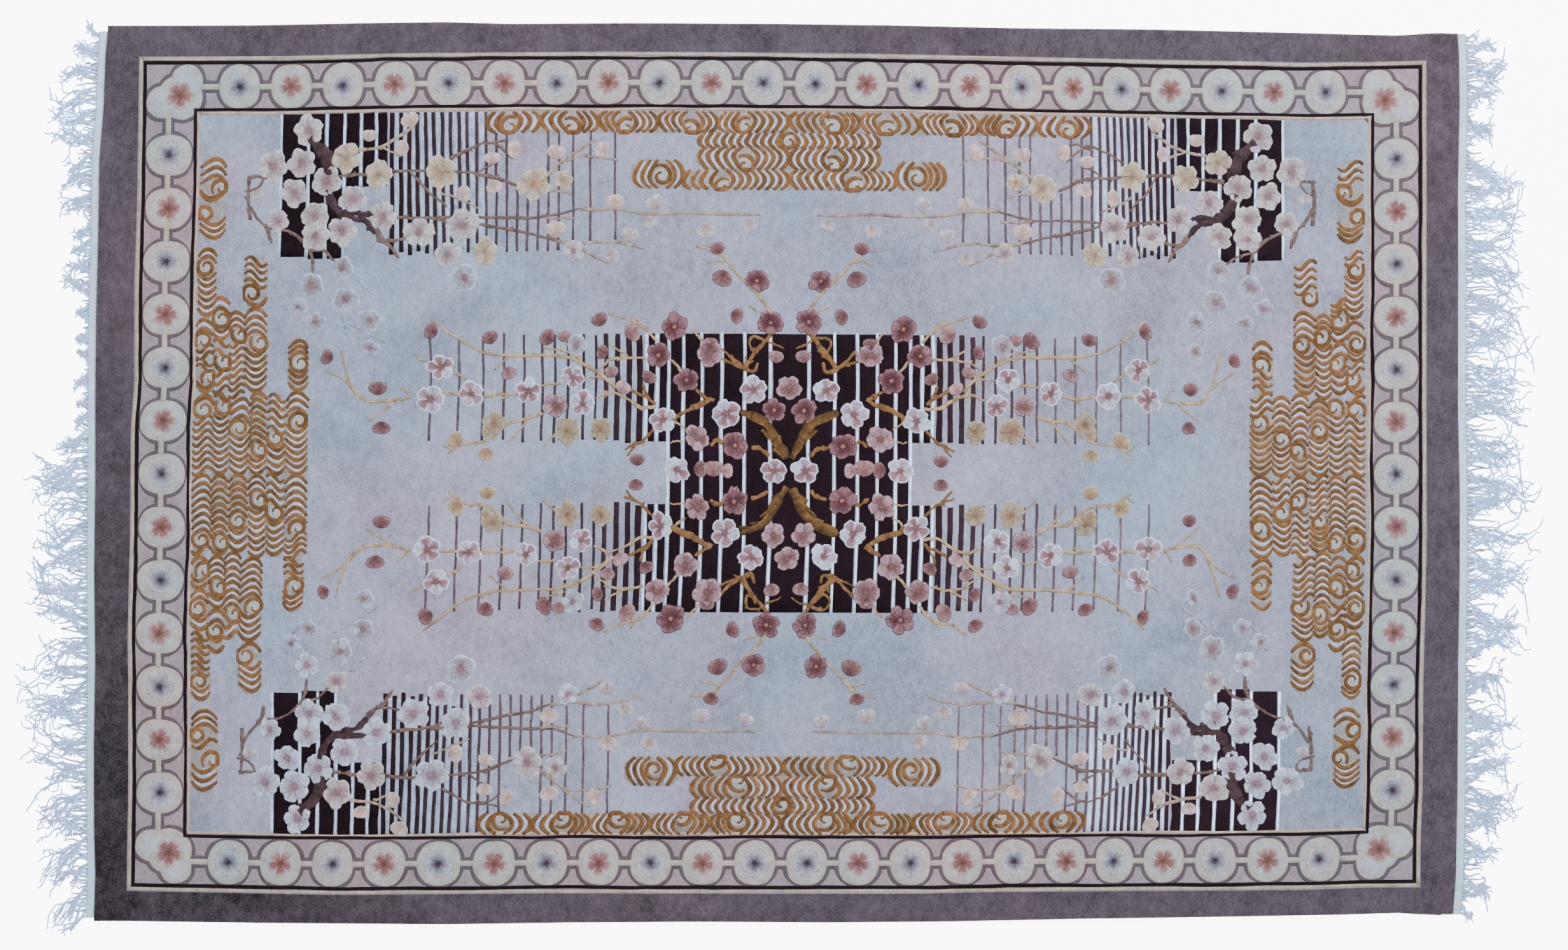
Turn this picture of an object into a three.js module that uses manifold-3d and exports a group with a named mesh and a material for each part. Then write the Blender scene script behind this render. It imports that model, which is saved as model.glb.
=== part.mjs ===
// A carved hand-knotted rug, laid flat: a pile on its woven foundation, an overcast side cord along
// each long edge, and at each end a flat-woven web that carries the cotton fringe.
// Units are millimetres. X runs along the rug, Y across it and Z up. The origin is the middle of
// the rug's underside, and everything rests on the plane z = 0.
import * as THREE from 'three';
import Module from 'manifold-3d';
import { mergeVertices } from 'three/addons/utils/BufferGeometryUtils.js';

// Driving dimensions
const FOUNDATION_THICK = 4.0;    // warps, wefts and knot bases
const PILE_TOP = 10.8;           // from the floor to the cut pile
const PILE_SINK = 0.2;           // how far the pile slab is sunk into the foundation
const PILE_ROUND = 2.5;          // rounding of the pile where it spreads at the rug's edge
const SIDE_INSET = 2.5;          // the foundation stops this far inside the pile's long edges
const GAP = 0.3;                 // clear space between neighbouring pieces
const SELVEDGE_THICK = 3.2;
const SELVEDGE_ROUND = 1.0;
const WEB_WIDTH = 13.5;          // flat-woven end, from the pile to the fringe
const WEB_THICK = 2.0;
const STRAND_WIDTH = 2.6;
const STRAND_TIP = 1.4;
const STRAND_PITCH = 11.0;
const STRAND_STEPS = 4;
const EDGE_STEPS = 2;            // straight steps between two rows of an edge table
const ROUND_STEPS = 2;           // steps of a rounded edge
const CORNER_MARGIN = 4.0;       // the fringe starts this far inside the web's corners

// The laid rug's outline, as uneven as it lies. Each row is one place on an edge.
const topEdge = [
  { x: -912, y: 605 }, { x: -885, y: 611.5 }, { x: -711, y: 612 }, { x: -537, y: 615.5 },
  { x: -450, y: 616.5 }, { x: -364, y: 614 }, { x: -190, y: 615 }, { x: 0, y: 614 },
  { x: 157, y: 612 }, { x: 331, y: 608 }, { x: 504, y: 606.5 }, { x: 678, y: 602.5 },
  { x: 850, y: 598 }, { x: 905, y: 602 }, { x: 931, y: 601.5 },
];
const bottomEdge = [
  { x: -931, y: -608 }, { x: -884, y: -611.5 }, { x: -711, y: -614 }, { x: -450, y: -616 },
  { x: -277, y: -613.5 }, { x: -103, y: -612.5 }, { x: 70, y: -613.5 }, { x: 244, y: -612 },
  { x: 418, y: -608.5 }, { x: 591, y: -606 }, { x: 765, y: -603 }, { x: 850, y: -600.5 },
  { x: 905, y: -604 }, { x: 925, y: -603.5 },
];
const leftEdge = [
  { x: -912, y: 605 }, { x: -915, y: 573 }, { x: -917.5, y: 501 }, { x: -923.5, y: 430 },
  { x: -925, y: 326 }, { x: -928, y: 210 }, { x: -929, y: 94 }, { x: -929, y: -23 },
  { x: -930.5, y: -139 }, { x: -929, y: -255 }, { x: -931, y: -372 }, { x: -930.5, y: -488 },
  { x: -929, y: -546 }, { x: -931, y: -608 },
];
const rightEdge = [
  { x: 931, y: 601.5 }, { x: 933, y: 573 }, { x: 934, y: 501 }, { x: 931.5, y: 385 },
  { x: 932, y: 268 }, { x: 931.5, y: 94 }, { x: 934, y: -23 }, { x: 934, y: -139 },
  { x: 932, y: -255 }, { x: 931, y: -430 }, { x: 929, y: -546 }, { x: 925, y: -603.5 },
];

// How far the fringe reaches out from the web, and how far its tips lean along the edge (+ is up)
const leftFringe = [
  { y: 605, reach: 22, lean: 6 }, { y: 540, reach: 60, lean: 0 }, { y: 470, reach: 80, lean: -4 },
  { y: 420, reach: 34, lean: -10 }, { y: 385, reach: 58, lean: -14 }, { y: 345, reach: 20, lean: -8 },
  { y: 262, reach: 48, lean: 6 }, { y: 215, reach: 18, lean: 0 }, { y: 70, reach: 20, lean: 0 },
  { y: 25, reach: 88, lean: -10 }, { y: -50, reach: 74, lean: 6 }, { y: -150, reach: 86, lean: 8 },
  { y: -290, reach: 97, lean: 8 }, { y: -345, reach: 92, lean: 0 }, { y: -430, reach: 84, lean: -8 },
  { y: -500, reach: 78, lean: -14 }, { y: -560, reach: 58, lean: -26 }, { y: -608, reach: 46, lean: -36 },
];
const rightFringe = [
  { y: 600, reach: 16, lean: -4 }, { y: 560, reach: 70, lean: 4 }, { y: 500, reach: 32, lean: -6 },
  { y: 440, reach: 54, lean: -10 }, { y: 375, reach: 84, lean: -6 }, { y: 290, reach: 96, lean: 0 },
  { y: 215, reach: 92, lean: 6 }, { y: 140, reach: 100, lean: 0 }, { y: 20, reach: 94, lean: -6 },
  { y: -90, reach: 96, lean: 6 }, { y: -150, reach: 76, lean: 0 }, { y: -205, reach: 96, lean: -4 },
  { y: -262, reach: 44, lean: -8 }, { y: -320, reach: 86, lean: 0 }, { y: -380, reach: 58, lean: 6 },
  { y: -430, reach: 80, lean: 0 }, { y: -500, reach: 50, lean: -6 }, { y: -545, reach: 68, lean: -10 },
  { y: -600, reach: 16, lean: -4 },
];

// Locks of the fringe: the strands draw together around evenly spread centres
const LOCK_PITCH = 66.0;
const LOCK_PULL = 0.62;          // 0 leaves the strands even, 1 would bring them together in a point

const colour = {
  pile: 0xa9a4ad,
  cord: 0x5c4a52,
  cotton: 0xd9e4ee,
};
const wool = new THREE.MeshStandardMaterial({ color: colour.pile, roughness: 0.9, metalness: 0 });
const cordWool = new THREE.MeshStandardMaterial({ color: colour.cord, roughness: 0.9, metalness: 0 });
const cotton = new THREE.MeshStandardMaterial({ color: colour.cotton, roughness: 0.85, metalness: 0 });

const wasm = await Module();
wasm.setup();

// A column of a table, read between its rows along another column that falls or rises all the way
function readTable(rows, along, column, at) {
  const rising = rows[rows.length - 1][along] > rows[0][along];
  const ordered = rising ? rows : [...rows].reverse();
  const last = ordered.length - 1;
  const place = THREE.MathUtils.clamp(at, ordered[0][along], ordered[last][along]);
  let i = 0;
  while (i < last - 1 && ordered[i + 1][along] < place) {
    i += 1;
  }
  const share = (place - ordered[i][along]) / (ordered[i + 1][along] - ordered[i][along]);
  return THREE.MathUtils.lerp(ordered[i][column], ordered[i + 1][column], share);
}

// A soft line through an edge's rows, moved by shift across the rug
function edgeLine(rows, shift = 0) {
  const line = new THREE.SplineCurve(rows.map((p) => new THREE.Vector2(p.x, p.y + shift)));
  return line.getPoints(EDGE_STEPS * (rows.length - 1));
}

// The closed outline of the rug, its long edges moved inwards by inset
function rugOutline(inset) {
  const top = edgeLine(topEdge, -inset);
  const bottom = edgeLine(bottomEdge, inset);
  const right = edgeLine(rightEdge).slice(1, -1);
  const left = edgeLine(leftEdge).slice(1, -1);
  return new THREE.Shape([...bottom, ...right.reverse(), ...top.reverse(), ...left]);
}

function slab(shape, bottom, top, round) {
  const geometry = new THREE.ExtrudeGeometry(shape, {
    depth: top - bottom - 2 * round,
    bevelEnabled: round > 0,
    bevelThickness: round,
    bevelSize: round,
    bevelOffset: -round,
    bevelSegments: ROUND_STEPS,
  });
  geometry.translate(0, 0, bottom + round);
  return geometry;
}

function toSolid(geometry) {
  const bare = geometry.clone();
  bare.deleteAttribute('normal');
  bare.deleteAttribute('uv');
  const merged = mergeVertices(bare, 1e-4);
  return new wasm.Manifold(new wasm.Mesh({
    numProp: 3,
    vertProperties: new Float32Array(merged.attributes.position.array),
    triVerts: new Uint32Array(merged.index.array),
  }));
}

function toGeometry(solid) {
  const mesh = solid.getMesh();
  const geometry = new THREE.BufferGeometry();
  geometry.setAttribute('position', new THREE.BufferAttribute(mesh.vertProperties, 3));
  geometry.setIndex(new THREE.BufferAttribute(mesh.triVerts, 1));
  geometry.computeVertexNormals();
  return geometry;
}

function named(name, geometry, material) {
  const mesh = new THREE.Mesh(geometry, material);
  mesh.name = name;
  return mesh;
}

// The knotted rug: the foundation stops short of the long edges, where the pile spreads over the cords
function pile() {
  const foundation = slab(rugOutline(SIDE_INSET), 0, FOUNDATION_THICK, 0);
  const tufts = slab(rugOutline(0), FOUNDATION_THICK - PILE_SINK, PILE_TOP, PILE_ROUND);
  return named('pile', toGeometry(toSolid(foundation).add(toSolid(tufts))), wool);
}

// An overcast cord beside the foundation, tucked under the pile's spread edge
function selvedge(name, edge, outward) {
  const inner = SIDE_INSET - GAP;
  const outer = inner - SELVEDGE_THICK;
  const near = edgeLine(edge, -outward * inner);
  const far = edgeLine(edge, -outward * outer);
  const band = new THREE.Shape([...near, ...far.reverse()]);
  return named(name, slab(band, 0, SELVEDGE_THICK, SELVEDGE_ROUND), cordWool);
}

// Where a strand that is rooted at y lies when it is reachedOut from the web. Strands never cross:
// the pull towards each lock's centre is everywhere weaker than the distance between neighbours.
function strandPlace(rows, rootY, out) {
  const fullReach = readTable(rows, 'y', 'reach', rootY);
  const share = out / Math.max(fullReach, 1);
  const pull = LOCK_PULL * Math.min(1, out / 45);
  const locks = (LOCK_PITCH / (2 * Math.PI)) * Math.sin((2 * Math.PI * rootY) / LOCK_PITCH);
  const lean = readTable(rows, 'y', 'lean', rootY) * share * share;
  return rootY - pull * locks + lean;
}

// The web and its strands are one comb, drawn as an outline and as thick as the laid cotton
function fringe(name, edge, rows, outward) {
  const high = Math.max(edge[0].y, edge[edge.length - 1].y);
  const low = Math.min(edge[0].y, edge[edge.length - 1].y);
  const line = edgeLine(edge);
  const outer = (y) => readTable(line, 'y', 'x', y) + outward * WEB_WIDTH;
  const points = line.map((p) => new THREE.Vector2(p.x + outward * GAP, p.y));
  const span = high - low - 2 * CORNER_MARGIN;
  const count = Math.floor(span / STRAND_PITCH);
  points.push(new THREE.Vector2(outer(low), low));
  for (let i = 0; i < count; i += 1) {
    const rootY = low + CORNER_MARGIN + (span * (i + 0.5)) / count;
    const uneven = 0.9 + 0.1 * Math.sin(i * 2.4) - 0.16 * (i % 3 === 1 ? 1 : 0);
    const reach = readTable(rows, 'y', 'reach', rootY) * uneven;
    const sides = { below: [], above: [] };
    for (let k = 0; k <= STRAND_STEPS; k += 1) {
      const out = (reach * k) / STRAND_STEPS;
      const width = THREE.MathUtils.lerp(STRAND_WIDTH, STRAND_TIP, k / STRAND_STEPS);
      const x = outer(rootY) + outward * out;
      const y = strandPlace(rows, rootY, out);
      sides.below.push(new THREE.Vector2(x, y - width / 2));
      sides.above.push(new THREE.Vector2(x, y + width / 2));
    }
    points.push(...sides.below, ...sides.above.reverse());
  }
  points.push(new THREE.Vector2(outer(high), high));
  const geometry = new THREE.ExtrudeGeometry(new THREE.Shape(points), {
    depth: WEB_THICK,
    bevelEnabled: false,
  });
  return named(name, geometry, cotton);
}

const group = new THREE.Group();
group.add(pile());
group.add(selvedge('selvedge_top', topEdge, 1));
group.add(selvedge('selvedge_bottom', bottomEdge, -1));
group.add(fringe('fringe_left', leftEdge, leftFringe, -1));
group.add(fringe('fringe_right', rightEdge, rightFringe, 1));

export default group;
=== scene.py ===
# %% [markdown]
# # A carved oriental rug
# The rug lies flat on a pale floor and is seen from straight above. A maker knots wool pile on a
# cotton foundation, cuts it level, and then carves a groove round each motif with shears, so the
# pattern stands in low relief. The solids give the rug's size and outline, and this script dresses
# them. It starts by loading those solids, because every new piece has to fit them.

# %% Load the frame
import math

import bmesh
import bpy
import numpy as np
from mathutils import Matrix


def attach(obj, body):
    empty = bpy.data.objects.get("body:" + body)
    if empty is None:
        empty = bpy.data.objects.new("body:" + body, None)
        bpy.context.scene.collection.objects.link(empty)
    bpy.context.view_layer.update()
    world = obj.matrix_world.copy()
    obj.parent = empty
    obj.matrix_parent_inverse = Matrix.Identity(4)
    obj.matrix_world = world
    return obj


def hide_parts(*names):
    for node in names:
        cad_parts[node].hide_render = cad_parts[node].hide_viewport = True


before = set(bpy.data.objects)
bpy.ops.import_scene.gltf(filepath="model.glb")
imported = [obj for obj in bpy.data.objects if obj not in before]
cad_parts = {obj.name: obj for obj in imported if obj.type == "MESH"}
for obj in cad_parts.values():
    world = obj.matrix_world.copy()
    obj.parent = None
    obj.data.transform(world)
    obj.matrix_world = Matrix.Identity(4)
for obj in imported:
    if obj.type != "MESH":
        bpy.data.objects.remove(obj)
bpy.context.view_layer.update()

# %% [markdown]
# ## The camera
# A rug is photographed from straight above so that nothing is foreshortened. The camera looks down
# the Z axis, and its focal length follows from the width of floor that the picture takes in.

# %% Camera
VIEW_WIDTH = 2.1388
VIEW_CENTRE = (0.0113, -0.0022)
CAMERA_HEIGHT = 2.6
RUG_TOP = 0.0105
SENSOR = 36.0


def add_object(name, data):
    """Adds an object at the origin. Pieces stay there, because their place is in their mesh."""
    added = bpy.data.objects.new(name, data)
    bpy.context.scene.collection.objects.link(added)
    return added


camera_data = bpy.data.cameras.new("camera")
camera_data.sensor_width = SENSOR
camera_data.sensor_fit = "HORIZONTAL"
camera_data.lens = SENSOR * CAMERA_HEIGHT / VIEW_WIDTH
camera = add_object("camera", camera_data)
camera.location = (*VIEW_CENTRE, CAMERA_HEIGHT + RUG_TOP)
bpy.context.scene.camera = camera
print("focal length", round(camera_data.lens, 2), "mm")

# %% [markdown]
# ## Colours
# Each dye is written as it should look in the finished picture, from 0 to 255. Blender's default
# view bends brightness on its way to the screen, so a helper bends it back: it looks the value up in
# a short table of grey steps, and divides by the light that falls on the rug. What is left is the
# wool's own reflectance, which is what a material wants.

# %% Dyes
GREY_SEEN = [0, 6, 10, 15, 20, 27, 34, 43, 54, 66, 81, 98, 117, 136, 154, 170, 184, 197, 208, 217, 226,
             233, 239, 245, 250]
GREY_LIGHT = [0.0] + [2.0 ** (step / 2 - 8) for step in range(24)]
LIGHT_ON_RUG = 2.0
BRIGHTEST_WOOL = 0.9
DARKEST_WOOL = 0.001


def dye(red, green, blue):
    """The reflectance that looks like this colour. One too bright for wool is dimmed, and keeps its hue."""
    share = np.interp([red, green, blue], GREY_SEEN, GREY_LIGHT) / LIGHT_ON_RUG
    share = share * min(1.0, BRIGHTEST_WOOL / share.max())
    return tuple(float(c) for c in np.maximum(share, DARKEST_WOOL))


def darker(colour, share):
    return np.asarray(colour) * share


def mix(a, b, share):
    return np.asarray(a) * (1 - share) + np.asarray(b) * share


MAUVE = dye(104, 93, 107)
BLACK = dye(28, 14, 23)
GUARD_CREAM = dye(184, 178, 170)
INNER_CREAM = dye(189, 179, 170)
GAP_LILAC = dye(172, 163, 171)
MAUVE_GREY = dye(120, 108, 118)
ROUNDEL_CREAM = dye(184, 183, 178)
ROUNDEL_WHITE = dye(184, 188, 192)
SILVER = dye(170, 174, 186)
PALE_LINE = dye(190, 202, 212)
GOLD = dye(163, 125, 76)
GOLD_DEEP = dye(122, 87, 48)
CRESCENT = dye(184, 190, 204)
WAVE_PLATE = dye(168, 168, 171)
EYE_PALE = dye(184, 187, 190)
print("silver reflects", [round(c, 3) for c in SILVER])

# %% [markdown]
# ## How the rug lies
# The pattern was knotted as a rectangle, but a rug pulls a little out of true on the loom and again
# when it is laid. All motifs are laid out on a true rectangle in millimetres (u along the rug, v
# across it). One function then carries them to their place on the floor: it bows the four sides as
# much as the laid rug's sides bow, and beyond the pattern it stretches the plain band to the rug's
# uneven edge. The edge tables repeat the solids' numbers.

# %% The laid rug's edges
TOP_EDGE = [(-912, 605), (-885, 611.5), (-711, 612), (-537, 615.5), (-450, 616.5), (-364, 614),
            (-190, 615), (0, 614), (157, 612), (331, 608), (504, 606.5), (678, 602.5), (850, 598),
            (905, 602), (931, 601.5)]
BOTTOM_EDGE = [(-931, -608), (-884, -611.5), (-711, -614), (-450, -616), (-277, -613.5), (-103, -612.5),
               (70, -613.5), (244, -612), (418, -608.5), (591, -606), (765, -603), (850, -600.5),
               (905, -604), (925, -603.5)]
LEFT_EDGE = [(-912, 605), (-915, 573), (-917.5, 501), (-923.5, 430), (-925, 326), (-928, 210), (-929, 94),
             (-929, -23), (-930.5, -139), (-929, -255), (-931, -372), (-930.5, -488), (-929, -546),
             (-931, -608)]
RIGHT_EDGE = [(931, 601.5), (933, 573), (934, 501), (931.5, 385), (932, 268), (931.5, 94), (934, -23),
              (934, -139), (932, -255), (931, -430), (929, -546), (925, -603.5)]

MM = 0.001
HALF_U = 877.0
HALF_V = 563.5
BAND_U = 52.0
BAND_V = 48.0
GROUND = 10.1

# How far each side of the pattern bows from straight: (place along the side, shift), in millimetres
BOW_TOP = [(-877, 5), (-676, 6), (-590, 8.3), (-500, 10), (-240, 12), (-70, 11), (105, 9.2), (279, 5.7),
           (452, 2), (626, -1.2), (713, -3), (800, -2), (877, -0.3)]
BOW_BOTTOM = [(-877, -6), (-760, -8.3), (-590, -11.8), (-330, -9.5), (0, -10), (192, -10), (279, -7.8),
              (452, -6.5), (713, -5), (800, -1.6), (877, -1.4)]
BOW_LEFT = [(-563, -8.5), (-430, -6.5), (-292, -6.5), (-222, -7.3), (-83, -4), (56, -3), (125, 1.8),
            (264, 2.2), (333, 4.8), (472, 7.5), (563, 8.5)]
BOW_RIGHT = [(-563, 2.5), (-500, 3), (-430, 5.6), (-292, 6.5), (-222, 8.2), (-83, 11.5), (-14, 10.8),
             (563, 10.8)]
MID_SHIFT = [(-484, 9), (0, 14.8), (484, 9)]


def read(table, at, column=1, along=0):
    rows = sorted(table, key=lambda row: row[along])
    return np.interp(at, [row[along] for row in rows], [row[column] for row in rows])


def ripple(x, y):
    return (0.16 * np.sin(x / 61.0 + 0.7 * np.sin(y / 83.0)) * np.sin(y / 54.0 + 1.3)
            + 0.10 * np.sin(x / 23.0 + y / 31.0))


def lay_down(u, v, height):
    """Carries points of the true rectangle (millimetres) to the floor (metres)."""
    inner_u = np.clip(u, -HALF_U, HALF_U)
    inner_v = np.clip(v, -HALF_V, HALF_V)
    across = (inner_u / HALF_U + 1) / 2
    up = (inner_v / HALF_V + 1) / 2
    x = inner_u + (1 - across) * read(BOW_LEFT, inner_v) + across * read(BOW_RIGHT, inner_v)
    y = inner_v + (1 - up) * read(BOW_BOTTOM, inner_u) + up * read(BOW_TOP, inner_u)
    steady = 500 - 120 * np.abs(inner_v) / 484
    fade = np.clip(1 - (np.abs(inner_u) - steady) / 150, 0, 1)
    x = x + read(MID_SHIFT, inner_v) * fade * fade * (3 - 2 * fade)
    out_u = (np.abs(u) - HALF_U) / BAND_U
    out_v = (np.abs(v) - HALF_V) / BAND_V
    far_x = np.where(u < 0, read(LEFT_EDGE, y, 0, 1), read(RIGHT_EDGE, y, 0, 1))
    far_y = np.where(v < 0, read(BOTTOM_EDGE, x), read(TOP_EDGE, x))
    y_out = np.where(out_v > 0, y + (far_y - y) * out_v, y)
    far_x = np.where(u < 0, read(LEFT_EDGE, y_out, 0, 1), read(RIGHT_EDGE, y_out, 0, 1))
    x_out = np.where(out_u > 0, x + (far_x - x) * out_u, x)
    z = height + np.where(height > 5, ripple(x_out, y_out), 0)
    return np.stack([x_out, y_out, z], axis=-1) * MM


corner = lay_down(np.array([-HALF_U]), np.array([HALF_V]), np.array([GROUND]))
print("the pattern's upper left corner lies at", corner.round(4).tolist())

# %% [markdown]
# ## Templates
# A carved rug repeats a few shapes many times: a strip of pile, a disc of pile, a blossom and a bud.
# Each is made once with bmesh operators as a small closed shape. It is then copied by arrays, bent
# along its line or turned in its place, and all copies of a kind are joined in one mesh. This is how
# a thousand motifs stay quick to make. Each point of a template keeps its role, such as crown,
# shoulder or foot, and the role decides its height and its colour. A foot mostly takes a darker
# colour, which is painted shade of the carved groove round the motif.

# %% A strip and a coin of pile
SHOULDER = 1.0


def take_points(bm):
    bm.verts.index_update()
    points = np.array([v.co[:] for v in bm.verts])
    corners = [loop.vert.index for face in bm.faces for loop in face.loops]
    sizes = [len(face.verts) for face in bm.faces]
    bm.free()
    return {"points": points, "corners": np.array(corners), "sizes": np.array(sizes)}


def strip_template(steps):
    """A six-sided bar along X from 0 to 1: crown, two shoulders, two feet and a keel."""
    bm = bmesh.new()
    bmesh.ops.create_cone(bm, cap_ends=True, cap_tris=False, segments=6, radius1=1, radius2=1, depth=1)
    long_edges = [e for e in bm.edges if abs(e.verts[0].co.z - e.verts[1].co.z) > 0.5]
    bmesh.ops.subdivide_edges(bm, edges=long_edges, cuts=steps - 1)
    for vert in bm.verts:
        vert.co = (vert.co.z + 0.5, vert.co.x, vert.co.y)
    bmesh.ops.recalc_face_normals(bm, faces=bm.faces)
    shape = take_points(bm)
    shape["station"] = np.rint(shape["points"][:, 0] * steps).astype(int)
    side = shape["points"][:, 1]
    level = shape["points"][:, 2]
    shape["side"] = np.sign(np.where(np.abs(side) < 0.1, 0, side))
    shape["crown"] = (level > 0.9).astype(float)
    shape["shoulder"] = ((level > 0.1) & (level < 0.9)).astype(float)
    return shape


def coin_template(segments, rings):
    """A disc whose top is inset again and again; ring 0 is its foot and the last ring its middle."""
    bm = bmesh.new()
    bmesh.ops.create_cone(bm, cap_ends=True, cap_tris=False, segments=segments, radius1=1, radius2=1,
                          depth=1)
    top = max(bm.faces, key=lambda face: face.calc_center_median().z)
    for _ in range(rings - 1):
        bmesh.ops.inset_region(bm, faces=[top], thickness=0.9 / rings, use_even_offset=False)
    bmesh.ops.recalc_face_normals(bm, faces=bm.faces)
    shape = take_points(bm)
    x, y, z = shape["points"].T
    radius = np.hypot(x, y)
    levels = np.unique(np.round(radius[z > 0], 4))[::-1]
    ring = np.array([1 + int(np.argmin(np.abs(levels - r))) for r in radius])
    shape["ring"] = np.where(z < 0, 0, ring)
    shape["angle"] = np.arctan2(y, x)
    return shape


strips = {steps: strip_template(steps) for steps in (4, 7, 12, 16, 24, 96)}
coin = coin_template(32, 4)
print("a strip of 7 steps has", len(strips[7]["sizes"]), "faces and a coin", len(coin["sizes"]))

# %% [markdown]
# A strip is bent along its line point by point: each station of the template goes to its share of the
# line's length, and out to the side by half the strip's width. The wool's dye is set on every point,
# with a little unevenness from tuft to tuft, because hand-dyed wool is never one flat colour.

# %% Bend a strip along a line
random = np.random.default_rng(41)


def wander(count, size):
    """A slow uneven line, as knots never count out quite straight."""
    rough = random.normal(0, 1, count + 8)
    return np.convolve(rough, np.ones(5) / 5, "same")[4:4 + count] * size


def along(path, half, height, body, edge, other=None, steps=7, shoulder=SHOULDER, grain=0.05,
          stations=None, mitre=False):
    """A strip of pile whose middle follows path, a list of points in millimetres.

    half is its half width at even places along it, edge is the colour of its feet, other is the dye of
    its second side, and mitre cuts its ends at 45 degrees for the corner of a frame. An edge darker
    than the body is painted shade of the carved groove round the strip."""
    shape = strips[steps]
    path = np.asarray(path, float)
    lengths = np.concatenate([[0], np.cumsum(np.hypot(*np.diff(path, axis=0).T))])
    shares = np.linspace(0, 1, steps + 1) if stations is None else stations
    at = shares * lengths[-1]
    middle = np.stack([np.interp(at, lengths, path[:, 0]), np.interp(at, lengths, path[:, 1])], axis=1)
    half = np.interp(shares, np.linspace(0, 1, np.size(half)), np.atleast_1d(half))
    run = np.gradient(middle, axis=0)
    run /= np.maximum(np.hypot(run[:, 0], run[:, 1]), 1e-9)[:, None]
    normal = np.stack([-run[:, 1], run[:, 0]], axis=1)
    if mitre:
        normal[0] = normal[0] - run[0]
        normal[-1] = normal[-1] + run[-1]
    place = shape["station"]
    slope = np.minimum(shoulder, 0.45 * half)[place]
    offset = shape["side"] * (half[place] - slope * shape["shoulder"])
    foot = 1 - shape["crown"] - shape["shoulder"]
    level = height * (shape["crown"] + 0.88 * shape["shoulder"]) - 0.5 * foot
    body = np.where(shape["side"][:, None] < 0, body if other is None else other, body)
    crown = shape["crown"][:, None]
    if other is not None:
        body = crown * mix(body, other, 0.5) + (1 - crown) * body
    # The feet take the edge colour; where it is darker, that is painted shade of the carved groove.
    colour = (1 - foot[:, None]) * body + foot[:, None] * np.asarray(edge)
    patchy = 1 + grain * (random.normal(0, 1, steps + 1)[place] + random.normal(0, 0.7, len(place)))
    return {"uv": middle[place] + normal[place] * offset[:, None], "level": level,
            "dye": colour * np.clip(patchy, 0.4, 1.8)[:, None], "corners": shape["corners"],
            "sizes": shape["sizes"]}


# %% Press a coin to an outline
def pressed(shape, centre, outline, shares, levels, dyes, grain=0.04):
    """A coin pressed to an outline: shares, levels and dyes are given for each ring from the foot in.
    Darker colours on the outer rings are painted shade of the carved groove round the coin.
    """
    ring = shape["ring"]
    radius = outline(shape["angle"]) * np.asarray(shares)[ring]
    spoke = np.stack([np.cos(shape["angle"]), np.sin(shape["angle"])], axis=1)
    patchy = np.clip(1 + grain * random.normal(0, 1, len(ring)), 0.5, 1.6)
    return {"uv": np.asarray(centre, float) + spoke * radius[:, None],
            "level": np.asarray(levels, float)[ring], "dye": np.asarray(dyes)[ring] * patchy[:, None],
            "corners": shape["corners"], "sizes": shape["sizes"]}


# %% Join copies to one piece
pieces = {}


def mesh_piece(name, co, corners, sizes, colour, nap, streak):
    mesh = bpy.data.meshes.new(name)
    mesh.vertices.add(len(co))
    mesh.vertices.foreach_set("co", co.astype(np.float32).ravel())
    mesh.loops.add(len(corners))
    mesh.loops.foreach_set("vertex_index", corners.astype(np.int32))
    mesh.polygons.add(len(sizes))
    starts = np.concatenate([[0], np.cumsum(sizes)[:-1]]).astype(np.int32)
    mesh.polygons.foreach_set("loop_start", starts)
    mesh.update(calc_edges=True)
    mesh.validate()
    rgba = np.concatenate([colour, np.ones((len(colour), 1))], axis=1)
    stored = (("dye", "FLOAT_COLOR", "color", rgba), ("nap", "FLOAT_VECTOR", "vector", nap),
              ("streak", "FLOAT", "value", streak))
    for key, kind, field, values in stored:
        attribute = mesh.attributes.new(key, kind, "POINT")
        attribute.data.foreach_set(field, values.astype(np.float32).ravel())
    mesh.shade_smooth()
    pieces[name] = add_object(name, mesh)
    return pieces[name]


def join(name, copies):
    counts = np.cumsum([0] + [len(c["uv"]) for c in copies])
    uv = np.concatenate([c["uv"] for c in copies])
    level = np.concatenate([c["level"] for c in copies])
    colour = np.clip(np.concatenate([c["dye"] for c in copies]), 0.0005, 0.95)
    nap = np.concatenate([c.get("nap", np.zeros((len(c["uv"]), 3))) for c in copies])
    streak = np.concatenate([c.get("streak", np.zeros(len(c["uv"]))) for c in copies])
    corners = np.concatenate([c["corners"] + start for c, start in zip(copies, counts)])
    sizes = np.concatenate([c["sizes"] for c in copies])
    co = lay_down(uv[:, 0], uv[:, 1], GROUND + level)
    piece = mesh_piece(name, co, corners, sizes, colour, nap, streak)
    print(f"{name}: {len(copies)} copies, {int((sizes - 2).sum())} triangles")
    return piece


def mirrored(make):
    """What make gives for each quarter of the rug, whose signs it is told."""
    made = []
    for su in (-1, 1):
        for sv in (-1, 1):
            made += make(su, sv)
    return made


# %% [markdown]
# ## The pile sheet
# The ground of the rug is one sheet: a plain mauve-brown band outside, a lilac-grey ground in the
# border, and the silver field. Its top starts as a grid whose rows are spaced so that they fall on
# the changes of ground. The grid's border is then extruded ring by ring: over the rounded edge of
# the pile, back under it on the long sides where the overcast cord sits, and down to the floor. A
# single face closes the underside.

# %% Grid lines and rim
BORDER_IN = 79.4
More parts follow.
